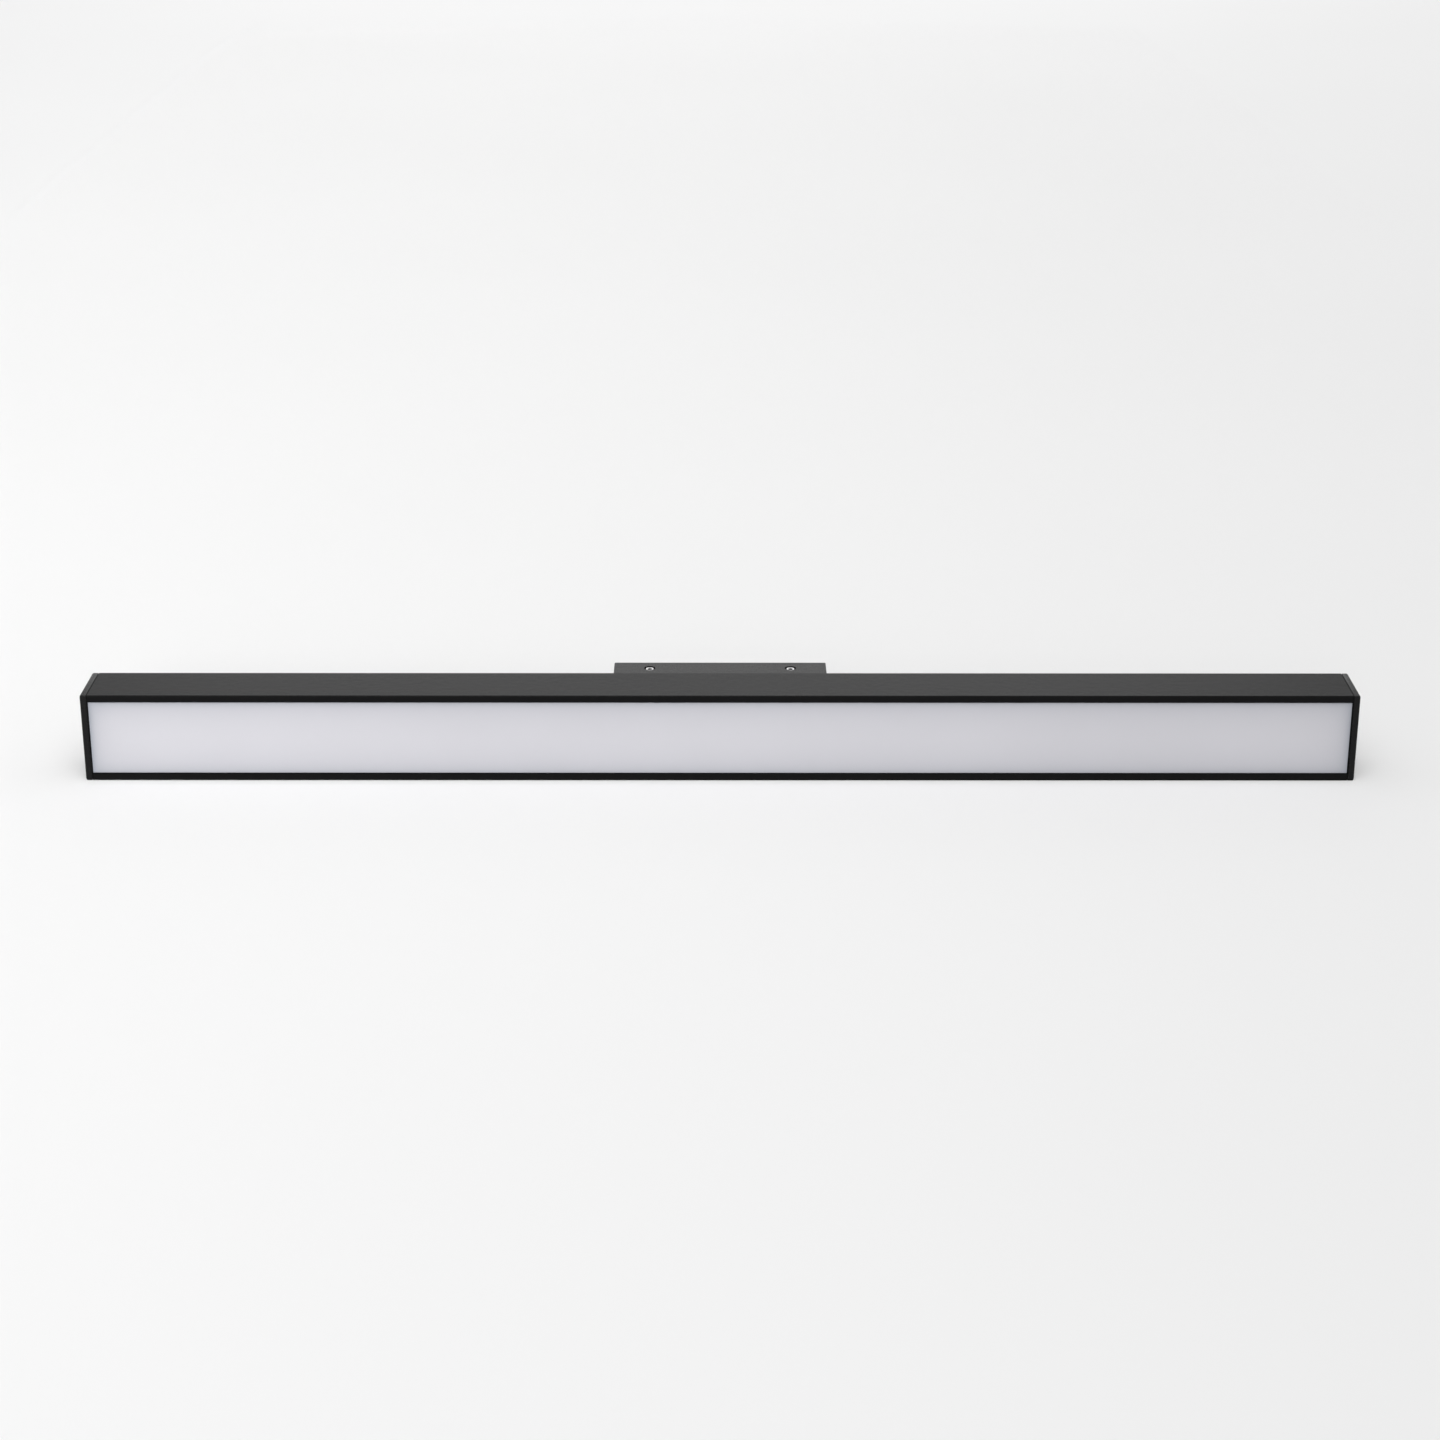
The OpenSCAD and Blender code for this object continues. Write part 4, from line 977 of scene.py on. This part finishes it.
class LIGHTBAR_OT_light_engine(bpy.types.Operator):
    """Finishes the reflector, the LED boards and their screws, and the driver"""

    bl_idname = "light_bar.light_engine"
    bl_label = "Light Engine and Driver"

    def execute(self, context):
        zinc = context.scene.light_bar_finishes.zinc_colour[:]
        dress(moulded_plastic("tray paint", (0.86, 0.86, 0.85), 0.3, 0.42, grain=0.0012),
              "reflector_tray")
        dress(circuit_board("led board mask", (0.76, 0.76, 0.74), (0.66, 0.64, 0.58),
                            pitch=4.8 * MM, share=0.12), "led_board_left", "led_board_right")
        dress(led_package("led package"), "led_chips")
        low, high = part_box("led_board_screws")
        radius = 1.25 * MM
        seat = low.y + radius * HEAD_RISE
        screw = pan_head_screw(radius, high.y - seat, pitch=0.45 * MM, depth=0.18 * MM)
        board_low, board_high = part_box("led_board_right")
        first = board_high.x - (high.x - radius * HEAD_RADIUS)
        half = (board_high.x - board_low.x) / 2
        places = [(side * ((board_low.x + board_high.x) / 2 + k * (half - first)), seat,
                   (low.z + high.z) / 2)
                  for side in (-1, 1) for k in (-1, 0, 1)]
        row = screw_row(screw, "led_board_screws_cross_recess", places, turn=90)
        stand_in(row, "led_board_screws", plated_metal("board screw zinc", zinc, 0.22, 0.34))
        shell = moulded_plastic("driver shell", (0.80, 0.80, 0.79), 0.4, 0.52)
        for node in ("driver_case", "driver_lid"):
            round_off(node, shell, share=2)
        dress(foam_tape("foam tape", (0.78, 0.75, 0.66)), "driver_tape")
        dress(circuit_board("driver board mask", (0.01, 0.1, 0.03), (0.1, 0.3, 0.1),
                            pitch=2.2 * MM, share=0.2), "driver_board")
        core = sintered_core("ferrite", (0.04, 0.037, 0.037))
        round_off("driver_transformer", core, share=2)
        sleeve = capacitor_sleeve("capacitor sleeve", (0.015, 0.02, 0.07))
        round_off("driver_capacitors", sleeve, share=2, angle=40)
        return {"FINISHED"}


class LIGHTBAR_OT_stage(bpy.types.Operator):
    """Sets the pale floor, the soft light and the camera"""

    bl_idname = "light_bar.stage"
    bl_label = "Studio"

    def execute(self, context):
        studio = context.scene.light_bar_studio
        bpy.ops.object.select_all(action="DESELECT")
        floor_size = 24
        bpy.ops.mesh.primitive_plane_add(size=floor_size, location=(0, 0, CAD_BOX[0].z))
        floor = context.object
        floor.name = "floor"
        bpy.ops.object.transform_apply(location=True)
        floor.data.materials.append(studio_floor("floor paint"))
        self.light_room(context, studio)
        key = self.panel_light("key_light", studio.key_place, studio.key_aim, studio.key_size,
                               studio.key_power)
        key.spread = studio.key_spread
        self.panel_light("back_light", studio.back_place, 0, studio.back_size,
                         studio.back_power)
        bpy.ops.object.light_add(
            type="SUN", rotation=(math.radians(90) - studio.overhead_height, 0, 0))
        overhead = context.object.data
        context.object.name = "overhead_light"
        overhead.energy = studio.overhead_strength
        overhead.angle = studio.overhead_softness
        turn = (Matrix.Rotation(studio.camera_yaw, 3, "Z")
                @ Matrix.Rotation(math.radians(90) - studio.camera_pitch, 3, "X")
                @ Matrix.Rotation(studio.camera_roll, 3, "Z"))
        bpy.ops.object.camera_add(location=studio.camera_place, rotation=turn.to_euler())
        camera = context.object
        camera.data.sensor_width = 36
        camera.data.lens = studio.camera_lens
        camera.data.clip_start = 0.05
        context.scene.camera = camera
        context.scene.view_settings.view_transform = "Standard"
        return {"FINISHED"}

    def panel_light(self, name, stand, along, size, power):
        """A square lamp that faces a point so far along the bar's front."""
        aim = Vector((along, BAR_LOW.y, 0)) - Vector(stand)
        bpy.ops.object.light_add(type="AREA", location=stand,
                                 rotation=aim.to_track_quat("-Z", "Y").to_euler())
        lamp = bpy.context.object
        lamp.name = name
        lamp.data.size = size
        lamp.data.energy = power
        return lamp.data

    def light_room(self, context, studio):
        """Even light from all round, which shows and reflects as the pale backdrop."""
        world = bpy.data.worlds.new("studio")
        context.scene.world = world
        world.use_nodes = True
        tree = world.node_tree
        light = tree.nodes["Background"]
        light.inputs["Color"].default_value = (1, 1, 1, 1)
        light.inputs["Strength"].default_value = studio.room_light
        seen = add(tree, "Background", {"Color": studio.backdrop_colour[:] + (1.0,)})
        path = add(tree, "LightPath")
        shown = work_out(tree, "MAXIMUM", path.outputs["Is Camera Ray"],
                         work_out(tree, "MAXIMUM", path.outputs["Is Glossy Ray"],
                                  path.outputs["Is Transmission Ray"]))
        both = add(tree, "MixShader", {0: shown, 1: light.outputs["Background"],
                                       2: seen.outputs["Background"]})
        tree.links.new(both.outputs["Shader"], tree.nodes["World Output"].inputs["Surface"])


# Panel and registration


class LIGHTBAR_PT_panel(bpy.types.Panel):
    """Lists the operators and the settings"""

    bl_idname = "LIGHTBAR_PT_panel"
    bl_label = "Light Bar"
    bl_space_type = "VIEW_3D"
    bl_region_type = "UI"
    bl_category = "Light Bar"

    def draw(self, context):
        for operator in OPERATORS:
            self.layout.operator(operator.bl_idname)
        for group in GROUPS:
            settings = getattr(context.scene, group)
            box = self.layout.box()
            for name in settings.__annotations__:
                box.prop(settings, name)


OPERATORS = (
    LIGHTBAR_OT_housing,
    LIGHTBAR_OT_diffuser,
    LIGHTBAR_OT_canopy,
    LIGHTBAR_OT_locking,
    LIGHTBAR_OT_bracket,
    LIGHTBAR_OT_wiring,
    LIGHTBAR_OT_light_engine,
    LIGHTBAR_OT_stage,
)
GROUPS = {
    "light_bar_finishes": LightBarFinishes,
    "light_bar_hardware": LightBarHardware,
    "light_bar_studio": LightBarStudio,
}


def register():
    for made in (*GROUPS.values(), *OPERATORS, LIGHTBAR_PT_panel):
        bpy.utils.register_class(made)
    for name, group in GROUPS.items():
        setattr(bpy.types.Scene, name, bpy.props.PointerProperty(type=group))


def unregister():
    for name in GROUPS:
        delattr(bpy.types.Scene, name)
    for made in reversed((*GROUPS.values(), *OPERATORS, LIGHTBAR_PT_panel)):
        bpy.utils.unregister_class(made)


def main():
    register()
    bpy.ops.light_bar.housing()
    bpy.ops.light_bar.diffuser()
    bpy.ops.light_bar.canopy()
    bpy.ops.light_bar.locking()
    bpy.ops.light_bar.bracket()
    bpy.ops.light_bar.wiring()
    bpy.ops.light_bar.light_engine()
    bpy.ops.light_bar.stage()


if __name__ == "__main__":
    main()
